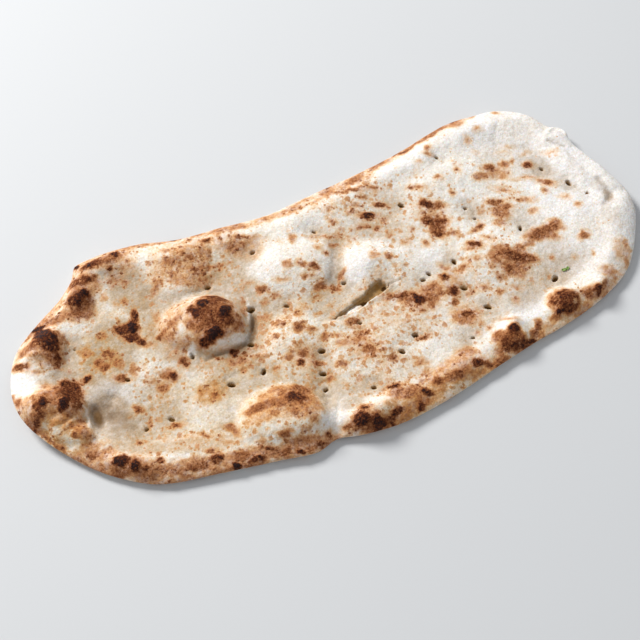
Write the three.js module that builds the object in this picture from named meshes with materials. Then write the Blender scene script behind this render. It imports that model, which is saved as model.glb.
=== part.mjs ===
// A long naan: one hand-stretched flatbread with a puffed rim, docked with pins and blistered in
// a fierce oven. Millimetres, +Z up. X runs along the bread, and the origin is on the table,
// under the middle of the bread.
//
// The bread is one closed skin. Its upper and lower faces are height fields over one outline:
// rings follow the rounded rim, a square lattice fills the middle, and a strip joins the two.

import * as THREE from "three";

// ---------------------------------------------------------------- driving sizes
const SHEET = 5.6; // thickness between blisters and rim
const EDGE_HEIGHT = 3.4; // height of the outermost line of the edge above the underside
const EDGE_ROUND = 6.5; // inset at which the rounded edge reaches full height
const UNDER_ROUND = 5.5; // the same for the underside
const RIM_RISE = 2.8; // how far the rim puffs up above the sheet
const RIM_CREST = 11; // inset of the rim's highest line
const RIM_SPREAD = 7; // how quickly the rim falls away on each side of its crest
const RIM_UNEVEN = 0.5; // share by which the rim's rise varies along the edge

const WAVE_HEIGHT = 1.1; // slow undulation of the whole sheet
const WAVE_LENGTH = 42;
const LUMP_HEIGHT = 0.5; // small lumps in the crumb
const LUMP_LENGTH = 15;
const LOBE_SHARE = 0.06; // how far a blister's foot strays from an ellipse

const PIN_DIMPLE_DEPTH = 1.3; // the sheet dips round each docking hole
const PIN_DIMPLE_RADIUS = 5.5;
const PIN_FLOOR = 1.4; // height of a docking hole's floor above the underside

const TEAR_FLOOR = 1.8; // height of the floor of the torn slit
const TEAR_NARROW = 1; // half the slit's width where it starts, and where it ends
const TEAR_WIDE = 3.2;
const TEAR_LIP = 1.6; // how far the near lip of the slit stands up
const TEAR_LIP_REACH = 8;
const TEAR_SLOPE_DEPTH = 1.4; // the far side slopes down to the slit
const TEAR_SLOPE_REACH = 8;

const LIFT_MARGIN = 0.35; // what of a curl is taken off, so that the middle lies flat

const TOP_CELL = 3.6; // lattice pitch of the upper face
const BOTTOM_CELL = 9;
const RIM_STEPS = 212; // points round the outline
const TOP_RINGS = [0.6, 2, 4.2, 7.4, 11.5]; // insets of the rings on the upper face
const BOTTOM_RINGS = [1, 3.2, 7];
const SPINE_HALF = 105; // half the length of the line that the rings close in on
const PINCH = 0.4; // how strongly the lattice closes in on a pit, and how far off
const PINCH_REACH = 9;
const BORDER_EVEN = 0.6; // how far the lattice's stepped border is straightened
const SLIVER = 1.2; // area below which a triangle counts as a sliver, and how much that is avoided
const SLIVER_COST = 10;

// ---------------------------------------------------------------- the outline, counter-clockwise
const OUTLINE = [
  // right end, a small torn knob, and the far corner
  [178.5, -22.5], [182, -13.5], [182.4, -4], [180, 4], [178, 13], [174.5, 22], [170.7, 32],
  [169.2, 39.5], [169.8, 46.5], [165.8, 50.8], [162, 53.5], [159, 60.5], [152, 68.9],
  // far side, to the charred flap of the left corner
  [139, 76], [124, 78], [107, 79], [75, 73], [44, 69], [15, 67], [-14, 65], [-40, 68],
  [-67, 71], [-83, 75.8], [-98, 77.6], [-112, 78.2], [-121, 77.6], [-125.8, 76.2], [-126, 72.5],
  // left end, with its shallow waist and two large lobes
  [-134, 64.5], [-141, 59], [-152, 53], [-170, 39], [-178.6, 18], [-178.4, 2],
  [-172, -13], [-156, -35], [-144, -47], [-124, -60],
  // near side, with one pinched notch
  [-94, -67], [-63, -73], [-42, -77], [-31, -74], [-20, -77], [2, -80], [31, -78],
  [74, -70], [94, -66.5], [107, -65], [138, -58], [160, -47],
];

// ---------------------------------------------------------------- what swells, sinks and splits
// A blister has a clear foot, an ellipse with wandering edge. "steep" shapes it: 2 is a round
// dome, and more makes its sides steeper and its top flatter. "lean" makes the end that its
// long axis points to higher, and its other end lower.
const BLISTERS = [
  { name: "big blister", at: [-71, 14.5], half: [23.5, 18.5], turn: -20, height: 11, steep: 3.2, lean: 0.4 },
  { name: "left, far lobe", at: [-155.5, 32], half: [15.5, 12], turn: 64, height: 8, steep: 2.6, lean: 0 },
  { name: "left, near lobe", at: [-161, 0], half: [18, 14], turn: -14, height: 9, steep: 3, lean: 0.25 },
  { name: "left, small lobe", at: [-153, -17], half: [9, 8], turn: -40, height: 5.5, steep: 2.4, lean: 0.3 },
  { name: "near-side mound", at: [-52, -51], half: [26, 17], turn: -8, height: 8, steep: 2.4, lean: 0.15 },
  { name: "right rim blister", at: [115, -52], half: [11, 9.5], turn: -20, height: 5, steep: 2.4, lean: 0 },
  { name: "right rim button", at: [137, -52], half: [8, 6.5], turn: 10, height: 4, steep: 2.2, lean: 0 },
  { name: "near rim blister", at: [80, -60], half: [12, 10], turn: -40, height: 5, steep: 2.4, lean: 0 },
  { name: "its knob", at: [83, -53], half: [6, 5], turn: 0, height: 6, steep: 2.2, lean: 0 },
  { name: "near rim, by the notch", at: [-9, -71], half: [15, 9], turn: 8, height: 4, steep: 2.2, lean: 0 },
  { name: "near rim, left", at: [-134, -45], half: [17, 8], turn: -36, height: 3.5, steep: 2, lean: 0 },
  { name: "far rim, left corner", at: [-110, 71], half: [15, 8], turn: 4, height: 3, steep: 2, lean: 0 },
  { name: "far rim, left of that", at: [-129, 58], half: [10, 8], turn: 50, height: 3.5, steep: 2, lean: 0 },
  { name: "near rim, middle", at: [44, -67], half: [22, 8], turn: 8, height: 2, steep: 2, lean: 0 },
];

// A swell has no foot: it fades into the sheet. A negative one is a hollow.
const SWELLS = [
  { name: "far-side mound", at: [-73, 50], half: [28, 20], turn: -16, height: 4.5 },
  { name: "pale mound", at: [-11, 29], half: [31, 23], turn: -20, height: 5 },
  { name: "pale mound by the slit", at: [29, 12], half: [25, 18], turn: -25, height: 4.5 },
  { name: "middle mound", at: [-32, -10], half: [22, 17], turn: 0, height: 2.5 },
  { name: "near-side plateau", at: [14, -36], half: [40, 28], turn: 0, height: 2.4 },
  { name: "right mound", at: [95, -12], half: [32, 26], turn: 0, height: 2.2 },
  { name: "far right mound", at: [86, 44], half: [44, 24], turn: 10, height: 2.8 },
  { name: "right end", at: [146, -8], half: [26, 36], turn: 12, height: 2 },
  { name: "far-side roll", at: [34, 50], half: [30, 18], turn: 0, height: 1.8 },
  { name: "left basin", at: [-114, -22], half: [34, 28], turn: 0, height: -2.2 },
  { name: "hollow behind the lobes", at: [-142, -12], half: [8, 13], turn: 6, height: -3 },
  { name: "hollow beside the blister", at: [-41, 2], half: [8, 16], turn: -16, height: -2 },
  { name: "dip in the far corner", at: [149, 49], half: [12, 15], turn: 30, height: -1.8 },
];

// A groove follows its points, soft-sided, "half" wide to each side.
const GROOVES = [
  { name: "valley to the notch", points: [[-19, -30], [-26, -50], [-31, -77]], half: 7, depth: 2 },
  { name: "valley between the pale mounds", points: [[16, 30], [11, 20], [6, 9]], half: 6, depth: 1.8 },
  { name: "inside the right rim", points: [[158, 38], [167, 21], [168, 7], [171, -7]], half: 6, depth: 2.2 },
  { name: "pinch in the right edge", points: [[171, -3], [184, -5]], half: 3.5, depth: 1.4 },
  { name: "crease, near lobes", points: [[-145, -9], [-154, -12], [-162, -20]], half: 3.5, depth: 2.5 },
  { name: "crease by the far-side mound", points: [[-55, 57], [-50, 44]], half: 4, depth: 1.4 },
  { name: "crease inside the far lobe", points: [[-120, 53], [-124, 41]], half: 4, depth: 1.4 },
];

// The torn slit: a fold that opened and widens to the right, with its near lip standing up.
const TEAR = [[-3, -11], [8, -9], [18, -7.4], [26, -4.6], [32, -2.6]];

// Centres of the docking holes.
const PIN_HOLES = [
  [-140, 28], [-119, 1], [-131, -6], [-134, -16], [-120, -30], [-106, -30],
  [-83, -2], [-60, 35], [-44, 12], [-52, -7], [-70, -24], [-51, -24], [-30, 45], [-25, 7],
  [7, 43], [9, 7], [8, -19], [-18, -26], [-23, -38], [-25, -48], [-1, -56], [21, -44], [32, -38],
  [50, -9], [56, -6], [60, 39], [93, 22], [96, 15], [71, -6], [69, -23], [76, -38], [60, -51],
  [92, 59], [115, -2], [118, -38], [145, 27], [154, 13], [161, 4],
];

// Where the edge curls up off the table.
const LIFTS = [
  { name: "left end", at: [-186, 6], half: [44, 62], turn: 0, height: 5.5 },
  { name: "far left corner", at: [-112, 92], half: [50, 30], turn: 0, height: 3 },
  { name: "right end", at: [190, 14], half: [42, 64], turn: 8, height: 4 },
  { name: "near side, right", at: [70, -88], half: [60, 26], turn: 8, height: 2.6 },
  { name: "near side, left", at: [-62, -90], half: [56, 24], turn: -8, height: 2.2 },
  { name: "far side", at: [40, 84], half: [60, 24], turn: 8, height: 2 },
];

// ---------------------------------------------------------------- small helpers
const radians = (degrees) => (degrees * Math.PI) / 180;
const clamp = (v, low, high) => Math.min(high, Math.max(low, v));
const smooth = (t) => t * t * (3 - 2 * t);
const mix = (a, b, t) => a + (b - a) * t;

// A repeatable value between -1 and 1 for a pair of whole numbers.
function hash(i, j) {
  const s = Math.sin(i * 127.1 + j * 311.7) * 43758.5453;
  return (s - Math.floor(s)) * 2 - 1;
}

// Smooth value noise between -1 and 1, with bumps about "length" apart.
function noise(x, y, length) {
  const i = Math.floor(x / length);
  const j = Math.floor(y / length);
  const a = smooth(x / length - i);
  const b = smooth(y / length - j);
  const near = mix(hash(i, j), hash(i + 1, j), a);
  const far = mix(hash(i, j + 1), hash(i + 1, j + 1), a);
  return mix(near, far, b);
}

// Where (x, y) lies in a turned ellipse: "out" is 0 at its centre and 1 on its edge, and "along"
// runs from -1 to 1 on its turned axis. "lobes" lets the edge wander, by its own place's phase.
function within({ at, half, turn }, x, y, lobes = 0) {
  const c = Math.cos(radians(turn));
  const s = Math.sin(radians(turn));
  const along = ((x - at[0]) * c + (y - at[1]) * s) / half[0];
  const across = ((y - at[1]) * c - (x - at[0]) * s) / half[1];
  const angle = Math.atan2(across, along);
  const phase = at[0] + 2 * at[1];
  const edge = 1 + lobes * (Math.sin(2 * angle + phase) + Math.sin(3 * angle - phase));
  return { out: Math.hypot(along, across) / edge, along };
}

const fade = (d) => (d < 1 ? (1 - d * d) ** 2 : 0);

// The nearest point to (x, y) on a run of points, how far off it is, and which side (x, y) is
// on: 1 to the left of the run, -1 to the right.
function nearestOnRun(points, x, y) {
  let best = { distance: Infinity };
  for (let k = 1; k < points.length; k++) {
    const [ax, ay] = points[k - 1];
    const [bx, by] = points[k];
    const along = ((x - ax) * (bx - ax) + (y - ay) * (by - ay)) / ((bx - ax) ** 2 + (by - ay) ** 2);
    const at = [mix(ax, bx, clamp(along, 0, 1)), mix(ay, by, clamp(along, 0, 1))];
    const distance = Math.hypot(x - at[0], y - at[1]);
    const side = (bx - ax) * (y - ay) > (by - ay) * (x - ax) ? 1 : -1;
    if (distance < best.distance) best = { distance, side, at };
  }
  return best;
}

// Evenly spaced points on a smooth curve through the given ones.
function smoothRun(points, steps, closed = false) {
  const places = points.map(([x, y]) => new THREE.Vector3(x, y, 0));
  const curve = new THREE.CatmullRomCurve3(places, closed, "centripetal");
  return curve.getSpacedPoints(steps).map((p) => [p.x, p.y]);
}

const closedEdge = smoothRun(OUTLINE, RIM_STEPS, true);
const edge = closedEdge.slice(0, RIM_STEPS);

// Distance in from the edge, never negative.
function insetOf(x, y) {
  const { distance, side } = nearestOnRun(closedEdge, x, y);
  return Math.max(0, distance * side);
}

// ---------------------------------------------------------------- heights
const rounded = (d, reach) => (d < reach ? Math.sqrt(1 - (1 - d / reach) ** 2) : 1);

function lift(x, y) {
  const raised = LIFTS.reduce((sum, l) => sum + l.height * fade(within(l, x, y).out), 0);
  return Math.max(0, raised - LIFT_MARGIN);
}

function rim(x, y, d) {
  const rise = RIM_RISE * (1 + RIM_UNEVEN * noise(x, y, 2.4 * LUMP_LENGTH));
  return rise * Math.exp(-(((d - RIM_CREST) / RIM_SPREAD) ** 2));
}

function blister(b, x, y) {
  const { out, along } = within(b, x, y, LOBE_SHARE);
  return out < 1 ? b.height * (1 + b.lean * along) * (1 - out ** b.steep) : 0;
}

const groove = ({ points, half, depth }, x, y) => depth * fade(nearestOnRun(points, x, y).distance / half);

// The near lip of the slit stands up, and the far side slopes down to it.
function tearShoulders(x, y) {
  const { distance, side } = nearestOnRun(TEAR, x, y);
  if (side < 0) return TEAR_LIP * fade(distance / TEAR_LIP_REACH);
  return -TEAR_SLOPE_DEPTH * fade(distance / TEAR_SLOPE_REACH);
}

// How much of the sheet's height is left in the slit: none on its floor, all beyond its sides.
function besideTear(x, y) {
  const share = clamp((x - TEAR[0][0]) / (TEAR.at(-1)[0] - TEAR[0][0]), 0, 1);
  const half = mix(TEAR_NARROW, TEAR_WIDE, share);
  return smooth(clamp(nearestOnRun(TEAR, x, y).distance / half - 0.4, 0, 1));
}

function pinDimples(x, y) {
  const dimple = ([px, py]) => Math.exp(-((Math.hypot(x - px, y - py) / PIN_DIMPLE_RADIUS) ** 2));
  return PIN_DIMPLE_DEPTH * Math.max(...PIN_HOLES.map(dimple));
}

function topHeight(x, y) {
  const d = insetOf(x, y);
  let z = SHEET + rim(x, y, d);
  z += WAVE_HEIGHT * noise(x, y, WAVE_LENGTH) + LUMP_HEIGHT * noise(x + 7, y - 3, LUMP_LENGTH);
  for (const s of SWELLS) z += s.height * fade(within(s, x, y).out);
  z += Math.max(...BLISTERS.map((b) => blister(b, x, y)));
  for (const g of GROOVES) z -= groove(g, x, y);
  z = mix(TEAR_FLOOR, z + tearShoulders(x, y) - pinDimples(x, y), besideTear(x, y));
  return lift(x, y) + mix(EDGE_HEIGHT, z, rounded(d, EDGE_ROUND));
}

function bottomHeight(x, y) {
  return lift(x, y) + EDGE_HEIGHT * (1 - rounded(insetOf(x, y), UNDER_ROUND));
}

// ---------------------------------------------------------------- the lattice
// Points of the ring that lies "depth" in from the edge, each moved towards the bread's spine.
function ringPoints(depth) {
  return edge.map(([x, y]) => {
    const towards = new THREE.Vector2(clamp(x, -SPINE_HALF, SPINE_HALF) - x, -y).normalize();
    return [x + depth * towards.x, y + depth * towards.y];
  });
}

const TEAR_START = new THREE.Vector2(...TEAR[0]);
const TEAR_END = new THREE.Vector2(...TEAR.at(-1));
const rowDirection = TEAR_END.clone().sub(TEAR_START).normalize();
const latticeOrigin = TEAR_START.clone().add(TEAR_END).multiplyScalar(0.5);

// The lattice's rows run along the slit, so that the slit's floor is one straight row.
const cornerAt = (i, j, cell) => [
  latticeOrigin.x + cell * (i * rowDirection.x - j * rowDirection.y),
  latticeOrigin.y + cell * (i * rowDirection.y + j * rowDirection.x),
];
const cornerName = (i, j) => `${i},${j}`;

// Square cells that fit inside the innermost ring: their corners, the cells, and their border.
function lattice(cell, margin) {
  const reach = Math.ceil(210 / cell);
  const corners = new Map();
  const cells = [];
  const borderSteps = new Map(); // each step of the border, under the names of its two corners
  for (let i = -reach; i < reach; i++) {
    for (let j = -reach; j < reach; j++) {
      const around = [[i, j], [i + 1, j], [i + 1, j + 1], [i, j + 1]];
      if (!around.every(([a, b]) => insetOf(...cornerAt(a, b, cell)) > margin)) continue;
      cells.push(around.map(([a, b]) => cornerName(a, b)));
      around.forEach(([a, b], k) => {
        const from = cornerName(a, b);
        const to = cornerName(...around[(k + 1) % 4]);
        corners.set(from, cornerAt(a, b, cell));
        if (!borderSteps.delete(`${to}>${from}`)) borderSteps.set(`${from}>${to}`, [from, to]);
      });
    }
  }
  const follow = new Map([...borderSteps.values()]);
  const border = [follow.keys().next().value];
  while (follow.get(border.at(-1)) !== border[0]) border.push(follow.get(border.at(-1)));
  return { corners, cells, border };
}

// Draws the border's corners towards one smooth line that lies "depth" in from the edge.
function evenBorder(border, corners, depth) {
  for (const name of border) {
    const [x, y] = corners.get(name);
    const { distance, at } = nearestOnRun(closedEdge, x, y);
    const reach = mix(1, depth / distance, BORDER_EVEN);
    corners.set(name, [mix(at[0], x, reach), mix(at[1], y, reach)]);
  }
}

// Moves the nearest free corner onto each wanted place, and returns the corners that moved.
function snapOnto(places, corners, taken) {
  return places.map(([x, y]) => {
    const free = [...corners.keys()].filter((name) => !taken.has(name));
    const away = (name) => Math.hypot(corners.get(name)[0] - x, corners.get(name)[1] - y);
    const nearest = free.reduce((a, b) => (away(b) < away(a) ? b : a));
    corners.set(nearest, [x, y]);
    taken.add(nearest);
    return nearest;
  });
}

function neighboursOf(name, corners) {
  const [i, j] = name.split(",").map(Number);
  const around = [[i - 1, j], [i + 1, j], [i, j - 1], [i, j + 1]].map((ij) => cornerName(...ij));
  return around.filter((other) => corners.has(other));
}

// Wherever a step of the lattice crosses a blister's foot, moves its nearer corner onto the foot,
// so that the foot is a clean line.
function snapToFeet(corners, taken) {
  for (const b of BLISTERS) {
    const [cx, cy] = b.at;
    const outs = new Map([...corners].map(([name, [x, y]]) => [name, within(b, x, y, LOBE_SHARE).out]));
    const past = (name) => {
      const [x, y] = corners.get(name);
      return (1 - 1 / outs.get(name)) * Math.hypot(x - cx, y - cy);
    };
    const near = [...corners.keys()].filter((name) => !taken.has(name) && Math.abs(past(name)) < TOP_CELL);
    const crossing = near.filter((name) =>
      neighboursOf(name, corners).some((other) => {
        const apart = past(name) * past(other) < 0;
        return apart && (taken.has(other) || Math.abs(past(name)) <= Math.abs(past(other)));
      }));
    for (const name of crossing) {
      const [x, y] = corners.get(name);
      corners.set(name, [mix(cx, x, 1 / outs.get(name)), mix(cy, y, 1 / outs.get(name))]);
      taken.add(name);
    }
  }
}

// Evens out the corners that were not moved.
function relax(corners, taken) {
  for (const name of corners.keys()) {
    if (taken.has(name)) continue;
    const around = neighboursOf(name, corners).map((other) => corners.get(other));
    corners.set(name, [0, 1].map((axis) => around.reduce((sum, p) => sum + p[axis] / around.length, 0)));
  }
}

// Draws the corners in towards a run of points, so that the lattice is finer there.
function pinchTowards(run, corners, border) {
  for (const [name, [x, y]] of corners) {
    if (border.has(name)) continue;
    const { distance, at } = nearestOnRun(run, x, y);
    const keep = distance < PINCH_REACH ? 1 - PINCH * (1 - distance / PINCH_REACH) : 1;
    corners.set(name, [mix(at[0], x, keep), mix(at[1], y, keep)]);
  }
}

// Fits the lattice to the slit, the pin holes and the blisters, and returns the pin holes' floors.
function fitLattice(corners, borderNames) {
  const border = new Set(borderNames);
  const taken = new Set(borderNames);
  snapOnto(smoothRun(TEAR, Math.round(TEAR_START.distanceTo(TEAR_END) / TOP_CELL)), corners, taken);
  const pinCorners = snapOnto(PIN_HOLES, corners, taken);
  snapToFeet(corners, taken);
  relax(corners, taken);
  const pinRuns = PIN_HOLES.map(([x, y]) => [[x, y], [x + 0.01, y]]);
  for (const run of [TEAR, ...pinRuns]) pinchTowards(run, corners, border);
  return new Map(pinCorners.map((name) => [name, PIN_FLOOR + lift(...corners.get(name))]));
}

// ---------------------------------------------------------------- the skin
// The skin's vertices and triangles, filled by the functions below.
const positions = [];
const triangles = [];
const addVertex = (x, y, z) => positions.push(x, y, z) / 3 - 1;
const addTriangle = (a, b, c, flip) => triangles.push(...(flip ? [a, c, b] : [a, b, c]));
const distanceBetween = (a, b) =>
  Math.hypot(positions[3 * a] - positions[3 * b], positions[3 * a + 1] - positions[3 * b + 1]);

// A band of quads between two rings with the same number of points, the outer one first.
function addBand(outer, inner, flip) {
  outer.forEach((a, k) => {
    const m = (k + 1) % outer.length;
    addTriangle(a, outer[m], inner[m], flip);
    addTriangle(a, inner[m], inner[k], flip);
  });
}

// Joins an outer ring to the lattice's border by always taking the shorter crossing edge.
function addZip(outer, border, flip) {
  const start = border.reduce(
    (best, b, k) => (distanceBetween(outer[0], b) < distanceBetween(outer[0], border[best]) ? k : best), 0,
  );
  const ringCorner = (k) => outer[k % outer.length];
  const borderCorner = (k) => border[(start + k) % border.length];
  let i = 0;
  let j = 0;
  while (i < outer.length || j < border.length) {
    const stepOuter = distanceBetween(ringCorner(i + 1), borderCorner(j));
    const stepBorder = distanceBetween(ringCorner(i), borderCorner(j + 1));
    if (j >= border.length || (i < outer.length && stepOuter < stepBorder)) {
      addTriangle(ringCorner(i), ringCorner(i + 1), borderCorner(j), flip);
      i++;
    } else {
      addTriangle(ringCorner(i), borderCorner(j + 1), borderCorner(j), flip);
      j++;
    }
  }
}

// A cell of the lattice is folded along the diagonal that lies closer to the true height and
// leaves no sliver.
function addCell([a, b, c, d], height, flip) {
  const place = (vertex) => positions.slice(3 * vertex, 3 * vertex + 3);
  const area = (triangle) => {
    const [p, q, r] = triangle.map(place);
    return ((q[0] - p[0]) * (r[1] - p[1]) - (q[1] - p[1]) * (r[0] - p[0])) / 2;
  };
  const cost = (from, to, pair) => {
    const [x, y, z] = place(from).map((value, axis) => (value + place(to)[axis]) / 2);
    return Math.abs(z - height(x, y)) + SLIVER_COST * Math.max(0, SLIVER - Math.min(...pair.map(area)));
  };
  const overAC = [[a, b, c], [a, c, d]];
  const overBD = [[a, b, d], [b, c, d]];
  const pair = cost(a, c, overAC) > cost(b, d, overBD) ? overBD : overAC;
  pair.forEach((triangle) => addTriangle(...triangle, flip));
}

// One face of the bread: rings from the shared edge inwards, then the zip and the lattice.
function addFace(edgeRing, insets, cell, height, flip, fit = () => new Map()) {
  let outer = edgeRing;
  for (const depth of insets) {
    const ring = ringPoints(depth).map(([x, y]) => addVertex(x, y, height(x, y)));
    addBand(outer, ring, flip);
    outer = ring;
  }
  const { corners, cells, border } = lattice(cell, insets.at(-1) + 0.45 * cell);
  evenBorder(border, corners, insets.at(-1) + 0.9 * cell);
  const floors = fit(corners, border);
  const index = new Map();
  for (const [name, [x, y]] of corners) index.set(name, addVertex(x, y, floors.get(name) ?? height(x, y)));
  for (const cellCorners of cells) addCell(cellCorners.map((name) => index.get(name)), height, flip);
  addZip(outer, border.map((name) => index.get(name)), flip);
}

function breadSkin() {
  const edgeRing = edge.map(([x, y]) => addVertex(x, y, lift(x, y) + EDGE_HEIGHT));
  addFace(edgeRing, TOP_RINGS, TOP_CELL, topHeight, false, fitLattice);
  addFace(edgeRing, BOTTOM_RINGS, BOTTOM_CELL, bottomHeight, true);
  const skin = new THREE.BufferGeometry();
  skin.setAttribute("position", new THREE.Float32BufferAttribute(positions, 3));
  skin.setIndex(triangles);
  skin.computeVertexNormals();
  return skin;
}

// ---------------------------------------------------------------- the model
const crust = new THREE.MeshStandardMaterial({ color: 0xe6cfa6, roughness: 0.85, metalness: 0 });

const skin = breadSkin();
skin.computeBoundingBox();
const middle = skin.boundingBox.getCenter(new THREE.Vector3());

const bread = new THREE.Mesh(skin, crust);
bread.name = "naan";
bread.position.set(-middle.x, -middle.y, 0);

const model = new THREE.Group();
model.add(bread);

export default model;
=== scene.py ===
"""A long naan, dressed over its fixed CAD solid. Metres, +Z up, the bread's length along X.

The bread is the CAD solid's own skin made finer. Its docking holes, slit, creases and small
bubbles are cut and raised in the mesh. How hard each place was baked is painted onto the points
as dabs, and the crust's material turns that heat into colour.

A place in a table is where it shows in the main view, and sizes in a table are millimetres. An
oval is a place, half its length, half its width and its turn in degrees. A turn of 0 is left out.
"""

import math

import bpy
import numpy as np
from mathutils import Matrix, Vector, noise
from mathutils.bvhtree import BVHTree


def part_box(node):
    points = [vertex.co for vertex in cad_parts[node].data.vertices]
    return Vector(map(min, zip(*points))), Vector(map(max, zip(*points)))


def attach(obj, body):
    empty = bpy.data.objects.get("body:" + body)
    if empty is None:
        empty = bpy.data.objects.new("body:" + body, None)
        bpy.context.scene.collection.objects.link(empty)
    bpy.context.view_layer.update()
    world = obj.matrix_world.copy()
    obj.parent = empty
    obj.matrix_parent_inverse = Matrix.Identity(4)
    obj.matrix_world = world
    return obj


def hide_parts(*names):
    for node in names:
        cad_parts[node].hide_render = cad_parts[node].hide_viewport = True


MM = 0.001
LAYER = "naan"

# ---------------------------------------------------------------- camera and light
AIM = Vector((-0.0123, -0.0056, 0.0))
AZIMUTH = math.radians(-23.75)
ELEVATION = math.radians(65)
DISTANCE = 0.66
LENS = 67.5
SENSOR = 36.0
FRAME = 640  # places in the main view are given on a grid of this many steps each way
STEP = SENSOR / LENS / FRAME  # how far a ray leans for each step of that grid

WINDOW_TOWARDS = (-0.75, 0.65)  # where the light comes from, right and up in the main view
WINDOW_HEIGHT = 37  # degrees above the table
WINDOW_DISTANCE = 2.2
WINDOW_SIZE = 0.75
WINDOW_POWER = 55.5
WINDOW_COLOUR = (1.0, 0.99, 0.975)
SKY_COLOUR = (0.93, 0.96, 1.0, 1)
SKY_STRENGTH = 0.445
FLOOR_SIZE = 4
FLOOR_COLOUR = (0.66, 0.67, 0.68, 1)
FLOOR_ROUGHNESS = 0.7

# ---------------------------------------------------------------- the mesh
SPLIT_LEVELS = 2  # how often the CAD skin's faces are split
MERGE_WITHIN = 0.001 * MM
QUAD_ANGLE = math.radians(70)
UPPER_SLOPE = -0.15  # faces that look less far down than this take relief and dabs
UNDER_SLOPE = -0.7  # faces that look further down than this are the underside
NOWHERE_NEAR = 9.0
OCTAVES = (1.0, 2.0, 3)  # the fall-off, step and number of the octaves of the noise

# ---------------------------------------------------------------- sizes of the relief
HOLE_LONG = 1.75 * MM  # half sizes of a docking hole
HOLE_WIDE = 1.05 * MM
HOLE_DEPTH = 3.0 * MM
HOLE_REACH = 2.2  # points this many times as far out as the hole's edge are drawn to it
HOLE_DIP = 0.25 * MM  # how far the skin dips round the hole
HOLE_DIP_WIDTH = 0.7
HOLE_CLEARED = 4.2 * MM  # the CAD funnel is filled this far out before the hole is cut
LEAST_FLOOR = 1.2 * MM

FUNNEL_ROUNDS = 60  # how often the heights are evened out
SLOPE_ROUNDS = 250
DOUGH_ROUNDS = 500

# Docking holes: place, how wide each is against the usual one, and its turn.
HOLES = [
    (314, 234, 0.8, -20), (253, 254, 0.9, 30), (344, 284, 0.8), (287, 307, 0.9, -10),
    (251, 311, 1.35, 20), (208, 289, 1, 20), (251, 346, 1.2, -5), (322, 352, 1.2, 10), (323, 375, 1.2),
    (326, 391, 0.9, 30), (264, 373, 1.1, 75), (232, 386, 1.25, -10), (360, 324, 0.8), (374, 389, 0.9),
    (436, 160, 0.8, -30), (541, 171, 0.8, -30), (568, 185, 1.2, -45), (587, 194, 0.6, -30),
    (401, 207, 1.1, -25), (465, 210, 0.7), (475, 219, 0.7), (520, 230, 1, 85), (454, 263, 1.1, -60),
    (429, 275, 0.9, -35), (423, 281, 0.9, 5), (464, 289, 1.2, -10), (555, 280, 1.3, 50),
    (488, 308, 1.3, -10), (383, 289, 0.8), (473, 339, 0.7), (402, 353, 1.1, -20), (415, 336, 1.1, 10),
    (172, 420, 1.1, -15), (147, 430, 0.8, 40), (128, 381, 0.8), (75, 351, 0.45), (193, 358, 0.7, 60),
]

# The torn slit: the far edge and the near lip of its open mouth, their height, the height of
# its floor, and the pits in it with their radius. The flap of crumb in it is an oval.
SLIT_FAR = [
    (334, 318), (342, 311), (350, 305), (357, 300), (363, 296), (368, 290), (372, 284), (380, 280),
    (387, 284),
]
SLIT_NEAR = [
    (334, 318), (342, 315), (352, 312), (361, 308), (370, 300), (379, 294), (387, 288), (390, 285),
]
SLIT_LIP = 5.7
SLIT_FLOOR = 2.2
SLIT_PITS = [(384, 289, 1.5), (364, 304, 1.6)]
TORN_CRUMB = (354, 310, 6.4, 1.9, 35)
SLIT_WIDEST = 9 * MM  # no place in the slit lies further than this from its edges
SLIT_ROOF = 8 * MM  # how far the skin is raised beyond its far edge
SLIT_RISE = 7 * MM  # how far the near lip's rise reaches
SLIT_DRAWN = 1.5 * MM  # points this close to an edge are drawn to it
# Painted shade along the slit's far edge: the width of that hem.
SLIT_SHADE_HEM = 1.1 * MM  # width of the dark hem along the far edge
CRUMB_FOOT = 4 * MM
CRUMB_HEIGHT = 1.9 * MM

# Creases in the skin: a run of places, half width and depth, and their amount of painted shade.
# A negative depth is a ridge.
CREASES = [
    ([(249, 308), (254, 320), (251, 333), (244, 344), (232, 350), (218, 354), (206, 360)], 1.6, 1, 0.6),
    ([(190, 294), (206, 290), (222, 291), (238, 297), (249, 308)], 1.2, 0.5, 0.1),
    ([(190, 378), (215, 386), (240, 372), (262, 358), (290, 352), (315, 362), (334, 385)], 1.5, 0.25, 0),
    ([(60, 429), (67, 421), (74, 414), (81, 407)], 1.3, 0.45, 0.3),
    ([(82, 404), (86, 410), (89, 418), (91, 427), (92, 435)], 1.1, -0.75, 0),
    ([(84, 409), (78, 416), (71, 424), (65, 432)], 1.2, -0.3, 0),
    ([(598, 178), (607, 187), (611, 195), (606, 203)], 2.6, 0.8, 0.35),
    ([(547, 133), (552, 128), (563, 129), (570, 139)], 1.6, -0.9, 0),
    ([(548, 140), (556, 143), (565, 146)], 1.4, 0.8, 0.4),
    ([(389, 286), (396, 281), (402, 279)], 0.9, 0.6, 0.5),
    ([(330, 240), (334, 256), (333, 272), (326, 286)], 2.6, 0.35, 0),
    ([(340, 402), (336, 420), (340, 436)], 1.8, 0.5, 0),
    ([(95, 300), (94, 312), (97, 322)], 1.2, 0.5, 0.2),
    ([(205, 232), (210, 246), (212, 260), (207, 273)], 1.5, 0.5, 0.2),
    ([(568, 150), (584, 168), (604, 182), (615, 190)], 2.2, 0.3, 0),
    ([(603, 204), (609, 196), (617, 188)], 1.4, 0.3, 0.15),
    ([(498, 150), (494, 136), (498, 122)], 1.8, 0.3, 0),
]

# Ovals whose slopes are evened out.
EVEN_SLOPES = [
    (383, 270, 10, 7, 10), (339, 412, 6, 9), (97, 360, 7, 12, 10), (514, 134, 13, 9), (40, 373, 18, 9, 5),
    (59, 425, 11, 7, -40),
]
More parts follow.
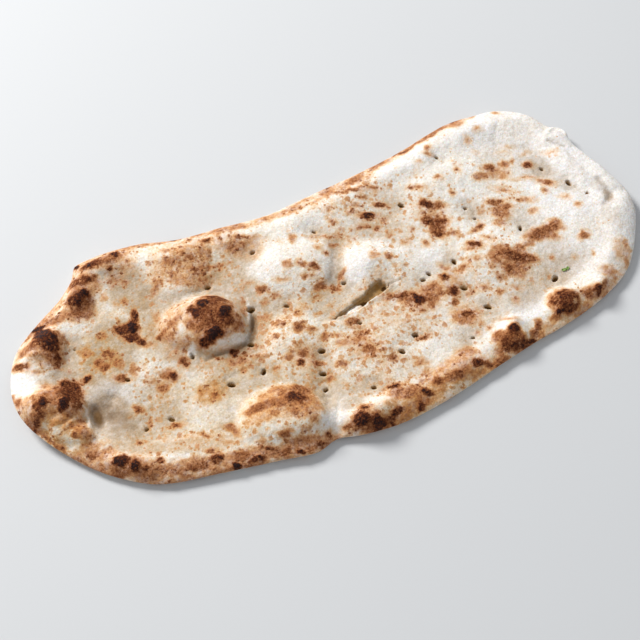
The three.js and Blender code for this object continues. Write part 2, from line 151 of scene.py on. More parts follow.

# Deep, sheltered folds: an oval, its depth, and its amount of painted shade.
POCKETS = [
    (98, 418, 8.5, 4, -68, 4, 1), (108, 412, 9, 6, -55, 0.8, 0.28), (118, 420, 13, 7, -25, 0.3, 0.45),
    (254, 325, 9, 2.8, -88, 1.8, 0.8), (252, 338, 5, 2.6, 70, 0.8, 0.7),
    (243, 346, 6, 1.6, 35, 0.6, 0.4), (193, 357, 2.6, 1.3, -60, 1.6, 0.6),
]

# Raw, beige dough with painted shade in sheltered places: an oval and its amount.
RAW_DOUGH_AND_SHADE = [
    (112, 409, 15, 10, -30, 1), (106, 386, 11, 8, 0.6), (330, 402, 5, 9, -10, 0.6),
    (150, 402, 24, 12, 0.45), (112, 345, 16, 20, 20, 0.9), (126, 432, 14, 7, 0.9),
    (142, 447, 20, 5, 0.75), (186, 446, 22, 5, 4, 0.6), (234, 439, 18, 5, 12, 0.5),
    (200, 412, 26, 11, 5, 0.3), (128, 290, 13, 15, 30, 0.95), (250, 385, 24, 9, 15, 0.4),
    (345, 345, 40, 16, 25, 0.25), (255, 326, 4, 9, 0.9), (95, 372, 9, 12, 0.9), (240, 265, 12, 10, 0.3),
    (400, 320, 30, 16, 20, 0.3), (380, 215, 36, 12, 25, 0.3), (335, 262, 4, 12, -15, 0.2),
    (612, 215, 5, 10, 30, 0.3), (608, 195, 3, 5.5, 25, 0.8), (597, 185, 5, 4, -30, 0.4),
    (480, 275, 30, 16, 20, 0.2), (352, 402, 9, 5, 15, 0.7), (140, 300, 12, 10, 30, 1),
]

# Dough that baked to a golden yellow: an oval and its amount.
GOLDEN = [
    (240, 400, 60, 24, 8, 0.7), (185, 443, 36, 7, -4, 0.5), (128, 330, 18, 26, 20, 0.6),
    (100, 355, 14, 14, 1), (211, 390, 12, 9, 20, 1), (64, 434, 14, 9, -35, 0.9), (300, 330, 24, 18, 0.5),
    (316, 304, 16, 9, 20, 0.6), (370, 360, 30, 20, 20, 0.2), (545, 325, 30, 5, 27, 0.7),
    (445, 394, 42, 8, 27, 0.8), (190, 265, 26, 12, 8, 0.4),
]

# Small bubbles under the hardest scorch marks: place, radius and height.
BUBBLES = [
    (133, 327, 3, 1.1), (204, 303, 3.6, 0.8), (225, 310, 3.4, 1.3), (213, 333, 3.8, 1.2),
    (44, 401, 2.8, 0.9), (64, 401, 3, 0.8), (67, 384, 4, 0.6), (84, 295, 3, 0.7), (118, 462, 3.8, 0.9),
    (135, 466, 3, 0.8), (362, 418, 4, 0.8), (378, 421, 3.8, 0.8), (238, 467, 2.6, 0.5),
    (427, 392, 3, 0.6), (514, 327, 3.2, 0.9), (574, 303, 3, 0.7), (560, 310, 3.2, 0.7),
    (598, 290, 3, 0.8), (418, 299, 3.4, 0.5), (427, 204, 4.2, 0.4), (476, 244, 3.8, 0.4),
    (368, 216, 3, 0.4), (173, 376, 3, 0.5), (88, 378, 2.6, 0.5), (64, 432, 8, 2.2),
    (301, 453, 2.4, 0.5), (258, 459, 3, 0.5), (217, 459, 3.4, 0.6), (584, 235, 2.4, 0.4),
]

# Lumps all over the crumb, and the blistered crackle where the crust is burnt: height, size of
# the lumps, and the offset of their noise.
LUMPS = [(0.45, 13, 0), (0.17, 4, 5)]
CRACKLE = (0.34, 2.6, 9)

# ---------------------------------------------------------------- the bake
# Dabs: an oval and its heat, 0.35 golden, 0.6 brown, 0.8 dark brown, 1 black.
DABS = [
    # far left corner
    (114, 254, 3.2, 1.6, 0.92), (103, 260, 13, 3.6, 20, 0.6), (90, 266, 3.8, 2, 15, 0.95),
    (73, 270, 2.4, 1.6, 20, 1), (110, 268, 1.5, 1.5, 0.8), (86, 279, 5, 2.4, -20, 0.8),
    (92, 264, 9, 2.6, 22, 0.72), (84, 285, 9, 7, 20, 0.42), (79, 282, 7, 4, 20, 0.74),
    (84, 294, 2.6, 3.2, 0.97), (78, 302, 3.4, 2.2, 10, 0.92), (71, 302, 1.4, 1.2, 0.95),
    (77, 298, 6.5, 3.4, 28, 0.84), (79, 300, 8, 7, 20, 0.66), (82, 313, 7, 4, 20, 0.58),
    (60, 318, 9, 3, 40, 0.5), (124, 302, 2.4, 2.6, 40, 0.5), (124, 283, 2, 3.2, 0.42),
    (120, 268, 9, 6, 20, 0.26), (105, 297, 2, 2.6, 0.36), (117, 304, 2.2, 1.4, 0.42),
    (115, 282, 5, 3.2, 0.38), (102, 336, 3, 3.6, -40, 0.44),
    # left end, far lobe
    (43, 335, 8, 5.4, -38, 0.97), (53, 343, 3.6, 6.5, 0.92), (38, 329, 5, 2.6, 20, 0.94),
    (45, 340, 8.5, 6.5, -35, 0.76), (35, 342, 3, 4, -40, 0.72), (44, 347, 12, 9, -30, 0.36),
    (57, 361, 2.2, 4.6, 0.72), (50, 357, 5, 5, 0.44), (27, 349, 7, 3.6, 35, 0.56),
    (52, 322, 7, 3, 15, 0.56), (60, 335, 4, 2, -40, 0.55), (30, 336, 6, 1.6, 45, 0.5),
    (22, 352, 5, 1.4, 60, 0.42),
    # left end, pale belly
    (20, 368, 5.5, 2.2, 0.72), (26, 365, 1.5, 1.5, 0.78), (36, 372, 3, 1.4, 0.36),
    # left end, near lobe
    (58, 401, 13.5, 11, 0.43), (64, 401, 2.8, 6.5, -10, 0.98), (68, 387, 6.4, 3.8, -25, 0.8),
    (70, 393, 7, 7.4, -20, 0.76), (56, 398, 8, 6, 10, 0.54), (74, 388, 4, 5, 40, 0.8),
    (44, 401, 2.8, 4, 20, 0.94), (55, 388, 2.4, 3, 0.66), (78, 401, 3.6, 6.5, -5, 0.7),
    (50, 394, 6, 4, 0.46), (72, 393, 4.5, 2.6, -20, 0.8), (35, 424, 2.4, 4.6, -10, 0.76),
    (18, 403, 2.2, 2.8, 0.64), (30, 412, 9, 8, -40, 0.3), (30, 428, 5, 3, -40, 0.62),
    (58, 415, 10, 7, -35, 0.4), (66, 413, 6, 3.4, 10, 0.42), (18, 414, 3, 4, 40, 0.44),
    (38, 409, 3, 5.5, 20, 0.72), (34, 423, 3, 5, 0.6), (47, 387, 4, 2, 0.4),
    # left end, small lobe and rim
    (83, 421, 3, 3.2, 0.5), (74, 434, 2, 1.8, 0.68), (78, 426, 5, 4, 0.4), (84, 432, 5, 4, 0.42),
    (88, 447, 7, 3.4, 10, 0.42), (93, 455, 5, 3.6, 0.6), (60, 444, 5, 3, -30, 0.3),
    (120, 461, 5, 3.4, 15, 1), (134, 466, 3, 3.6, 0.97), (146, 467, 2.8, 2, 0.76),
    (128, 466, 14, 5, 0.56), (160, 461, 2.6, 2, 0.72), (150, 470, 10, 3.6, 0.5),
    (106, 453, 6, 3, 10, 0.42), (117, 474, 5, 3, 0.6), (92, 455, 12, 4, -22, 0.36),
    (140, 468, 18, 5, -5, 0.44), (40, 440, 8, 2, -38, 0.44), (100, 470, 9, 2.4, -12, 0.5),
    # left basin
    (139, 409, 3.6, 2, -12, 0.62), (130, 417, 1.6, 1, 0.5), (121, 379, 4, 2, 0.64),
    (121, 331, 5, 2.8, -8, 0.82), (134, 316, 2.6, 4.2, 0.76), (141, 341, 3.6, 2.6, -50, 0.84),
    (133, 327, 3.4, 4, 1), (133, 338, 5, 3.6, 0.84), (129, 332, 6, 5.4, 0.78), (88, 378, 2.4, 2.2, 0.88),
    (83, 380, 2.6, 1.8, 0.5), (69, 373, 1.2, 1.2, 0.5), (104, 367, 3.2, 2.4, 0.6),
    (117, 365, 2.8, 2.4, 0.52), (100, 361, 2.6, 2.8, 0.56), (108, 354, 3.4, 2.4, 20, 0.56),
    (112, 355, 3, 3.4, 0.46), (120, 367, 2.4, 2.8, 0.46), (107, 361, 7.5, 6, 30, 0.39),
    (85, 353, 4.6, 3.4, 0.36), (83, 355, 2.2, 2, 0.52), (133, 369, 2.4, 3.2, 0.45),
    (173, 376, 3, 2.8, 0.86), (170, 376, 5.6, 3.8, 0.58), (164, 388, 3.6, 2.8, 0.56),
    (152, 381, 2.8, 1.2, 0.44), (184, 362, 3, 2.6, 20, 0.74), (176, 350, 3, 3.4, 0.42),
    (175, 426, 3.4, 1.2, 5, 0.62), (151, 422, 1.4, 2.4, 0.46), (205, 391, 5, 4, 0.34),
    (216, 397, 3.4, 3, 0.48), (211, 392, 9, 7, 20, 0.26), (176, 350, 7, 6, 0.26),
    (232, 430, 4.4, 2.1, -35, 0.54), (205, 434, 2.6, 1.1, -15, 0.66), (118, 322, 1.4, 2, 0.5),
    (140, 443, 3, 1.4, 0.5),
    # big blister
    (172, 320, 15, 9, 35, 0.22), (212, 314, 13.5, 12, 0.64), (210, 311, 11.5, 9.5, -10, 0.7),
    (203, 303, 4.2, 3.2, 1), (196, 313, 3.4, 5, 0.9), (225, 311, 3.8, 5.6, -10, 1),
    (214, 333, 5.8, 3.8, 30, 1), (206, 341, 3.4, 2.2, 20, 0.9), (216, 298, 8, 3.4, -12, 0.76),
    (214, 321, 7, 4.4, 0.72), (190, 308, 2, 3.2, 0.82), (211, 308, 5, 5, 0.72), (228, 318, 3.6, 5, 0.8),
    (236, 322, 4.5, 6.5, 10, 0.5), (243, 308, 2, 6, 10, 0.4), (235, 349, 9, 1.4, 12, 0.34),
    (198, 325, 7, 4, -10, 0.6), (174, 321, 7, 2.4, 42, 0.52), (163, 333, 5, 2.2, 42, 0.56),
    (158, 339, 2.4, 1.8, 0.68), (188, 337, 2.4, 1.4, 0.46), (184, 324, 2, 2.2, 0.44),
    (157, 317, 2.6, 2.6, 0.38), (170, 336, 5, 4, 20, 0.4), (150, 345, 5, 2, 10, 0.38),
    (185, 345, 3, 3, 0.4), (200, 340, 3, 5, 0.4),
    # far-side mound
    (190, 257, 3.6, 2, 0.58), (168, 262, 6, 2.4, 0.46), (207, 268, 4.5, 1.8, 10, 0.58),
    (219, 266, 4, 1.2, 15, 0.56), (207, 254, 3.4, 3.6, 0.42), (206, 281, 3.4, 2.4, 0.42),
    (155, 290, 5, 1.8, 55, 0.5), (171, 273, 2, 2.4, 0.54), (190, 278, 14, 5, 0.33),
    (176, 258, 3, 1.6, 20, 0.5), (192, 268, 3, 1.4, 60, 0.48), (178, 280, 3, 1.4, 70, 0.5),
    (183, 268, 18, 7, 10, 0.29), (188, 250, 12, 5, 5, 0.32), (165, 250, 4, 2, 0.44),
    (158, 284, 3, 3, 0.4), (200, 245, 22, 6, 8, 0.2), (245, 250, 10, 7, 0.26),
    # far rim
    (205, 240, 4, 1.4, 10, 0.72), (241, 237, 7, 1.1, 0.7), (236, 247, 7, 5, 0.42), (218, 243, 4, 4, 0.4),
    (170, 240, 3.2, 1, 0.86), (320, 190, 4, 1.6, 20, 0.4), (398, 154, 6, 1.4, 35, 0.62),
    (380, 165, 9, 1.6, 28, 0.5), (350, 182, 8, 1.4, 22, 0.5), (455, 124, 4.5, 2.2, 10, 0.46),
    (478, 129, 2, 1.6, 0.56), (495, 113, 2, 1.4, 0.4), (468, 140, 2.2, 2, 0.6),
    (427, 148, 2.4, 2.6, 0.54), (427, 154, 2.6, 1.2, 0.44), (405, 151, 6, 1.8, 31, 0.66),
    (430, 135, 7, 1.8, 36, 0.62), (417, 143, 6, 1.6, 33, 0.58), (418, 162, 1.5, 1.2, 0.38),
    (476, 152, 1.8, 1.8, 0.36),
    # pale mounds
    (302, 263, 3.6, 1.9, -10, 0.6), (314, 266, 2.6, 2.6, 0.68), (286, 264, 2.6, 2.8, 0.42),
    (306, 275, 2.8, 1.4, 0.46), (292, 238, 2.4, 3, 0.46), (318, 247, 1.8, 1, 0.46),
    (330, 237, 7, 0.9, 0.58), (333, 245, 2.8, 1.5, 0.56), (326, 253, 1.9, 1.6, 0.7),
    (320, 287, 4.2, 2.4, 20, 0.66), (335, 289, 3.6, 1.4, 0.58), (342, 275, 1.6, 5, -25, 0.56),
    (261, 289, 2.8, 2.6, 0.66), (247, 284, 2.8, 1.2, 0.5), (265, 303, 2.4, 2.6, 0.42),
    (276, 295, 1.8, 2, 0.44), (282, 279, 3.4, 1.2, 0.36), (389, 256, 2.8, 2.4, 0.6),
    (374, 255, 2.8, 2.4, 0.44),
    # middle
    (299, 326, 3.4, 3.6, 0.66), (310, 329, 2.6, 1.6, 0.5), (263, 319, 4.2, 2.6, 0.46),
    (280, 324, 4.4, 2, 0.42), (234, 353, 2.6, 2.2, 0.82), (245, 354, 2.4, 1.2, 0.66),
    (238, 361, 7, 2.4, 0.5), (217, 358, 1.8, 1.6, 0.66), (303, 352, 3.2, 3.6, 0.6),
    (289, 357, 3.4, 2.4, 0.5), (301, 363, 2.4, 2.2, 0.76), (317, 363, 2.6, 2.4, 30, 0.68),
    (257, 356, 1.6, 1.2, 0.6), (343, 364, 3, 2, 0.6), (330, 378, 2.6, 2.4, 0.58),
    (369, 349, 3.6, 2.8, 0.6), (359, 336, 4.2, 1.8, 45, 0.52), (351, 321, 3.8, 1.8, 15, 0.46),
    (273, 337, 1.8, 1.2, 0.5), (345, 343, 5, 2.4, 0.46), (325, 336, 2.6, 2.4, 0.5),
    (424, 338, 3.2, 1.5, 12, 0.74), (393, 358, 2.2, 2.6, -30, 0.66), (420, 362, 3, 1.6, 0.46),
    (427, 370, 2.4, 1.8, 0.42), (244, 370, 2, 2, 0.44), (277, 368, 2, 1.4, 20, 0.4),
    (369, 349, 7, 5, 0.27), (303, 355, 8, 8, 0.27), (357, 338, 8, 4, 30, 0.3),
    (318, 298, 3, 1.4, 20, 0.36), (304, 306, 2.4, 1.6, -20, 0.38), (330, 305, 2.6, 1.2, 30, 0.34),
    (296, 313, 2.6, 1.8, 0.4), (319, 313, 2.2, 1.4, 40, 0.38), (339, 336, 2.6, 1.6, 0.44),
    # near-side mound
    (294, 397, 6, 4.6, 15, 0.86), (297, 398, 8, 5.6, 15, 0.62), (283, 401, 5, 3.2, 25, 0.62),
    (295, 411, 2.8, 2.6, 0.66), (259, 406, 8, 2.8, 24, 0.64), (249, 412, 3.4, 2.2, 0.62),
    (302, 390, 6, 4, -10, 0.6), (272, 402, 5, 2.8, 20, 0.54), (263, 397, 4, 2.6, 0.38),
    (275, 413, 4, 1.8, 10, 0.46), (286, 433, 3.4, 2, 25, 0.64), (315, 417, 2.8, 3, 0.5),
    (280, 389, 9, 2.6, 12, 0.44), (288, 402, 16, 8.5, 12, 0.35), (305, 404, 10, 7, 0.42),
    (246, 407, 4.5, 5, 0.2), (306, 428, 3, 1.4, 0.42), (260, 418, 9, 3.4, 8, 0.32),
    (281, 393, 3, 4, 0.58),
    # near rim, left of the notch
    (301, 453, 3, 1.6, 0.96), (329, 434, 2, 1.6, 0.84), (320, 444, 4.5, 2, 22, 0.72),
    (289, 451, 2.4, 2.4, 0.7), (269, 448, 3, 1.6, 0.76), (258, 459, 4.4, 2.2, 8, 0.82),
    (238, 467, 3.2, 2, 1), (241, 456, 5, 3.2, 0.6), (217, 459, 4.2, 3, 20, 0.78),
    (211, 451, 2.4, 1.2, 0.64), (196, 466, 7, 2.8, 0.66), (305, 441, 14, 2.4, 15, 0.54),
    (280, 452, 9, 3, 10, 0.52), (228, 443, 2, 1.4, 0.44), (262, 441, 2.8, 1.6, 0.4),
    (175, 470, 8, 3, 0.5), (252, 464, 7, 2.2, 5, 0.62), (315, 447, 6, 1.8, 20, 0.6),
    (205, 464, 17, 4.4, 5, 0.42), (250, 457, 17, 4.6, 10, 0.42), (298, 447, 17, 4.2, 16, 0.44),
    # near rim, right of the notch
    (362, 418, 5, 4.4, 0.95), (378, 421, 4.2, 4, 0.95), (364, 407, 3.2, 1.8, 0.82),
    (372, 422, 11.5, 5.6, 5, 0.66), (397, 411, 5.2, 2.2, 30, 0.82), (391, 421, 3.4, 3, 0.76),
    (394, 386, 4.6, 1.6, 15, 0.86), (406, 392, 9, 4.4, 5, 0.54), (392, 402, 5, 2.4, 10, 0.3),
    (427, 392, 3.4, 2.6, 0.88), (421, 406, 2, 3, 0.8), (438, 381, 4, 3, 0.7),
    (457, 374, 5.6, 3.4, 10, 0.66), (467, 368, 4, 3, 0.5), (478, 363, 4.4, 2.8, 15, 0.84),
    (487, 365, 3.6, 2.6, 0.74), (410, 408, 7, 4, 25, 0.43), (435, 396, 9, 3, 25, 0.34),
    (455, 378, 12, 3, 22, 0.42), (478, 372, 10, 3, 25, 0.4), (467, 353, 6, 4.2, 0.42),
    (456, 364, 11, 5, 26, 0.34), (436, 373, 7, 3, 20, 0.27), (448, 378, 4, 2.6, 20, 0.56),
    (500, 362, 7, 2.6, 25, 0.6), (423, 400, 5, 3, 0.58), (348, 428, 3, 1.6, 40, 0.6),
    (401, 421, 7, 2.6, 27, 0.44), (382, 430, 7, 1.6, 12, 0.5),
    # near rim, right
    (514, 327, 3.8, 3.2, 0.93), (513, 339, 8.5, 6.2, 0.69), (520, 344, 8, 3.2, 10, 0.76),
    (531, 341, 3.4, 1.8, 15, 0.88), (506, 346, 3, 2.8, 0.78), (498, 336, 3.4, 3.4, 0.6),
    (508, 319, 4.8, 1.2, 0.42), (539, 325, 2.2, 3.2, -10, 0.72), (535, 334, 3, 3, 0.6),
    (565, 299, 9, 7.4, -20, 0.72), (563, 296, 4.2, 5.8, 40, 0.79), (575, 301, 3.2, 4.8, 0.8),
    (554, 299, 2.6, 5, 0.7), (566, 308, 6, 3, 0.8), (567, 292, 6, 3, -10, 0.74),
    (560, 311, 3.2, 2.4, 0.88), (569, 291, 5, 1.6, -20, 0.7), (556, 318, 4, 1.8, 0.62),
    (598, 289, 3, 3.2, 0.88), (590, 293, 5, 3.4, 0.58), (606, 283, 3.2, 2.4, 40, 0.56),
    (550, 324, 10, 2, 27, 0.3), (582, 309, 9, 2.6, 32, 0.42), (500, 352, 6, 2.6, 20, 0.46),
    (603, 292, 6, 2.2, 40, 0.45), (538, 331, 4, 3, 20, 0.44),
    # right end
    (584, 235, 3.4, 2.2, 28, 0.64), (611, 272, 5, 3.4, 20, 0.4), (625, 244, 2.4, 3.2, 0.36),
    (620, 248, 4, 7, 0.22), (626, 262, 2, 3.4, 0.38), (552, 258, 1.8, 1.6, 0.42),
    (579, 204, 1.8, 1.4, 0.44), (574, 256, 1.4, 1, 0.42), (565, 196, 2.4, 0.9, 0.36),
    (593, 254, 1.2, 1.8, 0.36), (605, 268, 3, 2, 0.34), (550, 152, 2.4, 0.8, 0.34),
    # right, big toasted patches
    (514, 256, 11, 4.8, -12, 0.64), (514, 256, 7, 4.2, -10, 0.76), (527, 257, 6, 2.8, -15, 0.66),
    (514, 266, 8.5, 5.8, 0.52), (497, 256, 5, 5, 0.5), (508, 267, 2.6, 2, 0.68),
    (500, 277, 2.2, 2.8, 20, 0.42), (540, 234, 9, 3.8, 12, 0.66), (550, 228, 5.5, 4, 15, 0.64),
    (556, 222, 3.6, 1.6, -25, 0.5), (562, 226, 2, 1.6, 0.46), (528, 243, 4, 2.2, 45, 0.52),
    (552, 236, 3.6, 2, 0.56), (519, 249, 4.5, 2.6, 20, 0.56), (499, 247, 4, 2.2, 10, 0.56),
    (502, 291, 2.8, 1.8, 0.44), (516, 288, 2.4, 0.9, 0.42), (516, 299, 2.6, 2.6, 20, 0.4),
    (520, 272, 4, 3.4, 0.46), (493, 264, 2.6, 3.4, 0.42),
    # right, toasted spots
    (480, 226, 2.6, 2.4, 30, 0.72), (474, 231, 2.6, 1.2, 10, 0.6), (476, 244, 4.4, 2.2, -5, 0.82),
    (470, 248, 3.4, 1.4, 0.48), (488, 237, 2.4, 1, 0.42), (495, 202, 4.6, 2.2, 0.68),
    (505, 190, 4.5, 1.4, -8, 0.46), (501, 212, 6, 5, 0.52), (507, 206, 3, 2.4, 0.6),
    (482, 211, 2.4, 2.2, 0.36), (524, 199, 5, 1.2, 0.42), (533, 210, 2.6, 1.8, 0.48),
    (545, 182, 5, 2.2, -12, 0.64), (527, 178, 4.6, 1, 5, 0.48), (545, 190, 2, 1.8, 0.52),
    (528, 165, 2.8, 1.8, -10, 0.76), (490, 168, 4.4, 2.6, -15, 0.62), (482, 176, 5, 2.4, 10, 0.52),
    (504, 164, 3, 2.4, 0.58), (495, 171, 9, 4.5, -15, 0.36), (512, 161, 1.6, 2.6, 0.48),
    (456, 169, 2, 1.8, 0.56), (439, 177, 1.6, 1.2, 0.56), (416, 187, 3.4, 1.1, 0.6),
    (452, 193, 1.4, 1.3, 0.6), (502, 153, 2.4, 0.8, 0.42), (524, 154, 2.4, 1, 20, 0.4),
    (508, 147, 2.4, 1.2, 0.4), (500, 222, 3, 2, 0.44),
    # middle, far
    (426, 204, 4.6, 2.6, 0.84), (434, 205, 5.5, 2.6, 0.64), (432, 213, 8, 2.6, 0.3),
    (425, 202, 2.2, 1.5, 0.93), (429, 221, 3.8, 2.6, -20, 0.76), (438, 228, 4.4, 5, 0.66),
    (440, 233, 2.6, 2.8, 0.8), (441, 221, 4.6, 2.2, 0.7), (452, 234, 3.4, 1.8, 0.54),
    (426, 243, 2.4, 1.8, 0.5), (381, 205, 4.6, 1.8, -5, 0.76), (368, 216, 3.8, 1.9, 0.9),
    (352, 190, 5, 1.3, 5, 0.66), (373, 188, 2.8, 1.1, 0.56), (361, 196, 1.8, 1.2, 0.5),
    (351, 213, 2, 1.4, 0.66), (363, 227, 4.2, 1.6, 15, 0.56), (378, 228, 2.4, 2.4, 30, 0.66),
    (384, 220, 2.4, 2, 0.5), (405, 242, 2, 1.4, 0.5), (332, 223, 1.8, 1.2, 0.52),
    (330, 207, 1.8, 1, 0.44), (355, 205, 3.4, 1.6, 0.46), (390, 234, 1.8, 1.6, 0.44),
    (411, 230, 1.6, 1.2, 0.4),
    # middle, right
    (418, 299, 4.6, 3.6, 0.92), (411, 298, 7.5, 3.8, 0.6), (430, 297, 4.6, 3.4, 0.6),
    (403, 296, 2.8, 2.2, 0.74), (422, 309, 2.4, 1.8, 0.62), (453, 291, 3.4, 3.4, 0.82),
    (455, 301, 1.8, 2.8, 0.62), (445, 277, 2.4, 2, 0.76), (463, 268, 3, 1.9, 20, 0.6),
    (455, 271, 4, 1.2, 0.48), (432, 288, 7, 3.6, 0.52), (389, 297, 4, 2, 0.5), (432, 303, 2.4, 3.4, 0.54),
    (466, 313, 4.6, 2.8, 0.78), (463, 318, 6.4, 4.2, 0.5), (474, 317, 2, 1.2, 30, 0.62),
    (483, 288, 3, 1.2, -20, 0.48), (470, 293, 3.6, 1.4, 20, 0.46), (490, 327, 1.4, 1, 30, 0.6),
    (478, 333, 1.4, 1, 20, 0.56), (482, 322, 1.8, 1.2, 0.42), (445, 268, 4, 1.8, -30, 0.5),
    (477, 258, 3, 1, 0.4), (441, 293, 3, 2, 0.58), (420, 300, 11, 7.5, 0.33), (466, 315, 8.5, 6.5, 0.34),
    (450, 285, 8, 9, 0.24),
]

ORANGE_PIP = (575, 300, 1.9)  # a spot that stayed amber inside the right rim's char
PIP_HEAT = 0.34
PIP_CLIMB = 0.55  # how fast the heat climbs from the spot to the char round it

# Toasted bands along the rim: a run of places, half width, and heat.
BANDS = [
    ([(106, 248), (150, 241), (200, 234), (245, 225), (285, 212), (325, 194), (360, 176)], 3.4, 0.46),
    ([(360, 176), (400, 152), (425, 137), (446, 121), (466, 114)], 3, 0.52),
    ([(75, 270), (90, 259), (107, 249), (128, 243), (152, 239)], 2.4, 0.50),
    ([(74, 272), (70, 286), (58, 304), (44, 320), (30, 334), (21, 350)], 4, 0.42),
    ([(13, 398), (18, 418), (34, 440), (62, 461), (100, 477), (140, 485)], 1.6, 0.40),
    ([(140, 484), (190, 480), (240, 472), (290, 461), (325, 449), (336, 438)], 3.4, 0.42),
    ([(343, 439), (372, 435), (405, 423), (440, 404), (475, 384), (505, 366)], 2.2, 0.20),
    ([(406, 404), (418, 398), (438, 386), (458, 373), (480, 363), (497, 356)], 5, 0.40),
    ([(27, 432), (43, 450), (62, 464), (85, 476)], 1, 0.58),
    ([(105, 447), (135, 451), (160, 447), (185, 442), (212, 438), (235, 434)], 5, 0.13),
    ([(505, 366), (540, 346), (575, 322), (602, 298), (620, 274), (630, 250)], 2.2, 0.26),
]

# Places that stayed pale among the browned ones: an oval and its amount.
PALE = [
    (181, 327, 2.4, 2.6, 0.8), (248, 312, 1.2, 8, 5, 0.75), (240, 338, 7, 2, 25, 0.9),
    (192, 352, 2.4, 3, -60, 0.9), (352, 309, 6, 2.2, 32, 1), (369, 303, 14, 0.9, 40, 0.8),
    (88, 417, 9, 0.7, -72, 0.8), (75, 420, 8, 0.6, 48, 0.3), (58, 431, 3, 2, 20, 0.7),
    (71, 443, 6, 3, -30, 0.5), (22, 384, 7, 6.5, 0.7), (24, 360, 3, 2, 0.6), (240, 406, 4, 6, 20, 0.4),
    (541, 312, 3, 6, 0.6), (489, 351, 4, 5, 20, 0.7), (452, 394, 5, 2.4, 25, 0.3),
    (500, 325, 4, 3, 30, 0.6), (512, 130, 20, 9, -10, 0.95), (300, 301, 5, 4, 0.3),
    (480, 148, 26, 7, -8, 0.5), (217, 253, 3, 8, 0.45), (360, 264, 8, 8, 0.5),
]

# Broad ovals by how thickly the small golden specks lie in them. The last one that covers a
# place counts.
SPECKLED = [
    (330, 300, 300, 200, 0.5), (590, 190, 55, 45, 0.12), (520, 130, 45, 20, 0.08),
    (350, 350, 55, 28, 10, 0.67), (395, 215, 48, 22, 0.62), (185, 270, 28, 15, 0.56),
    (285, 345, 26, 18, 0.67), (265, 260, 14, 12, 0.16), (300, 250, 12, 8, 0.3),
    (357, 262, 8, 12, -20, 0.08), (430, 262, 8, 12, 0.12), (20, 385, 9, 12, 0.02),
    (480, 205, 26, 20, 0.45), (452, 172, 30, 20, 0.32), (150, 360, 34, 26, 0.5), (110, 405, 12, 16, 0.06),
    (215, 412, 26, 12, 0.36), (500, 315, 28, 12, 20, 0.1), (590, 250, 30, 24, 0.12),
    (232, 345, 10, 5, 20, 0), (335, 410, 7, 14, 0.04), (450, 355, 20, 10, 20, 0.4),
    (185, 443, 32, 7, -4, 0.62), (440, 396, 42, 5, 27, 0.25), (550, 322, 30, 4, 27, 0.25),
    (460, 300, 26, 16, 0.5), (345, 325, 24, 10, 20, 0.67), (100, 345, 18, 14, 0.6),
    (290, 225, 20, 7, 15, 0.25), (330, 262, 5, 12, 0.1), (314, 303, 16, 8, 20, 0.62),
    (405, 160, 20, 8, 25, 0.16),
]

USUAL_SPECKS = 0.45

# How the dabs' outlines wander: size, amount, and the offset of the noise.
WANDER = [(7, 1.25, 3), (2.6, 0.85, 7)]
HALO = 0.32  # the toasted ring round a dab, against the dab's own heat
HOLLOW = 1.3 * MM  # a hollow this deep takes the full raw dough and painted shade
HOLLOW_RAW_AND_SHADE = 0.75

# The herb fleck's two shreds, as ovals.
LEAF_AT = [(564, 270, 1.4, 0.8, 10), (567.5, 268.5, 1.1, 0.8, 60)]

# ---------------------------------------------------------------- stage
def look_back():
    """The direction from the aim towards the camera."""
    flat = math.cos(ELEVATION)
    return Vector((math.sin(AZIMUTH) * flat, -math.cos(AZIMUTH) * flat, math.sin(ELEVATION)))


def aim_from(thing, direction, distance):
    """Puts a camera or lamp that far out from the aim, facing it."""
    thing.location = AIM + direction * distance
    thing.rotation_euler = (-direction).to_track_quat("-Z", "Y").to_euler()


def camera():
    """The main view's camera."""
    lens = bpy.data.cameras.new("camera")
    lens.lens = LENS
    lens.sensor_width = SENSOR
    lens.clip_start = 0.01
    eye = bpy.data.objects.new("camera", lens)
    bpy.context.collection.objects.link(eye)
    aim_from(eye, look_back(), DISTANCE)
    bpy.context.scene.camera = eye
    bpy.context.view_layer.update()
    return eye


def window():
    """A soft disk lamp, the only one."""
    right = Vector((math.cos(AZIMUTH), math.sin(AZIMUTH), 0))
    up = Vector((-math.sin(AZIMUTH), math.cos(AZIMUTH), 0))
    flat = (right * WINDOW_TOWARDS[0] + up * WINDOW_TOWARDS[1]).normalized()
    height = math.radians(WINDOW_HEIGHT)
    light = bpy.data.lights.new("window", "AREA")
    light.shape = "DISK"
    light.size = WINDOW_SIZE
    light.energy = WINDOW_POWER
    light.color = WINDOW_COLOUR
    lamp = bpy.data.objects.new("window", light)
    bpy.context.collection.objects.link(lamp)
    aim_from(lamp, flat * math.cos(height) + Vector((0, 0, math.sin(height))), WINDOW_DISTANCE)


def studio():
    """The lamp, the sky and the floor."""
    bpy.context.scene.view_settings.view_transform = "Standard"
    window()
    world = bpy.data.worlds.new("studio")
    world.use_nodes = True
    sky = world.node_tree.nodes["Background"]
    sky.inputs["Color"].default_value = SKY_COLOUR
    sky.inputs["Strength"].default_value = SKY_STRENGTH
    bpy.context.scene.world = world
    bpy.ops.mesh.primitive_plane_add(size=FLOOR_SIZE)
    floor = bpy.context.object
    floor.name = "floor"
    paint = bpy.data.materials.new("pale floor")
    paint.use_nodes = True
    shader = paint.node_tree.nodes["Principled BSDF"]
    shader.inputs["Base Color"].default_value = FLOOR_COLOUR
    shader.inputs["Roughness"].default_value = FLOOR_ROUGHNESS
    floor.data.materials.append(paint)


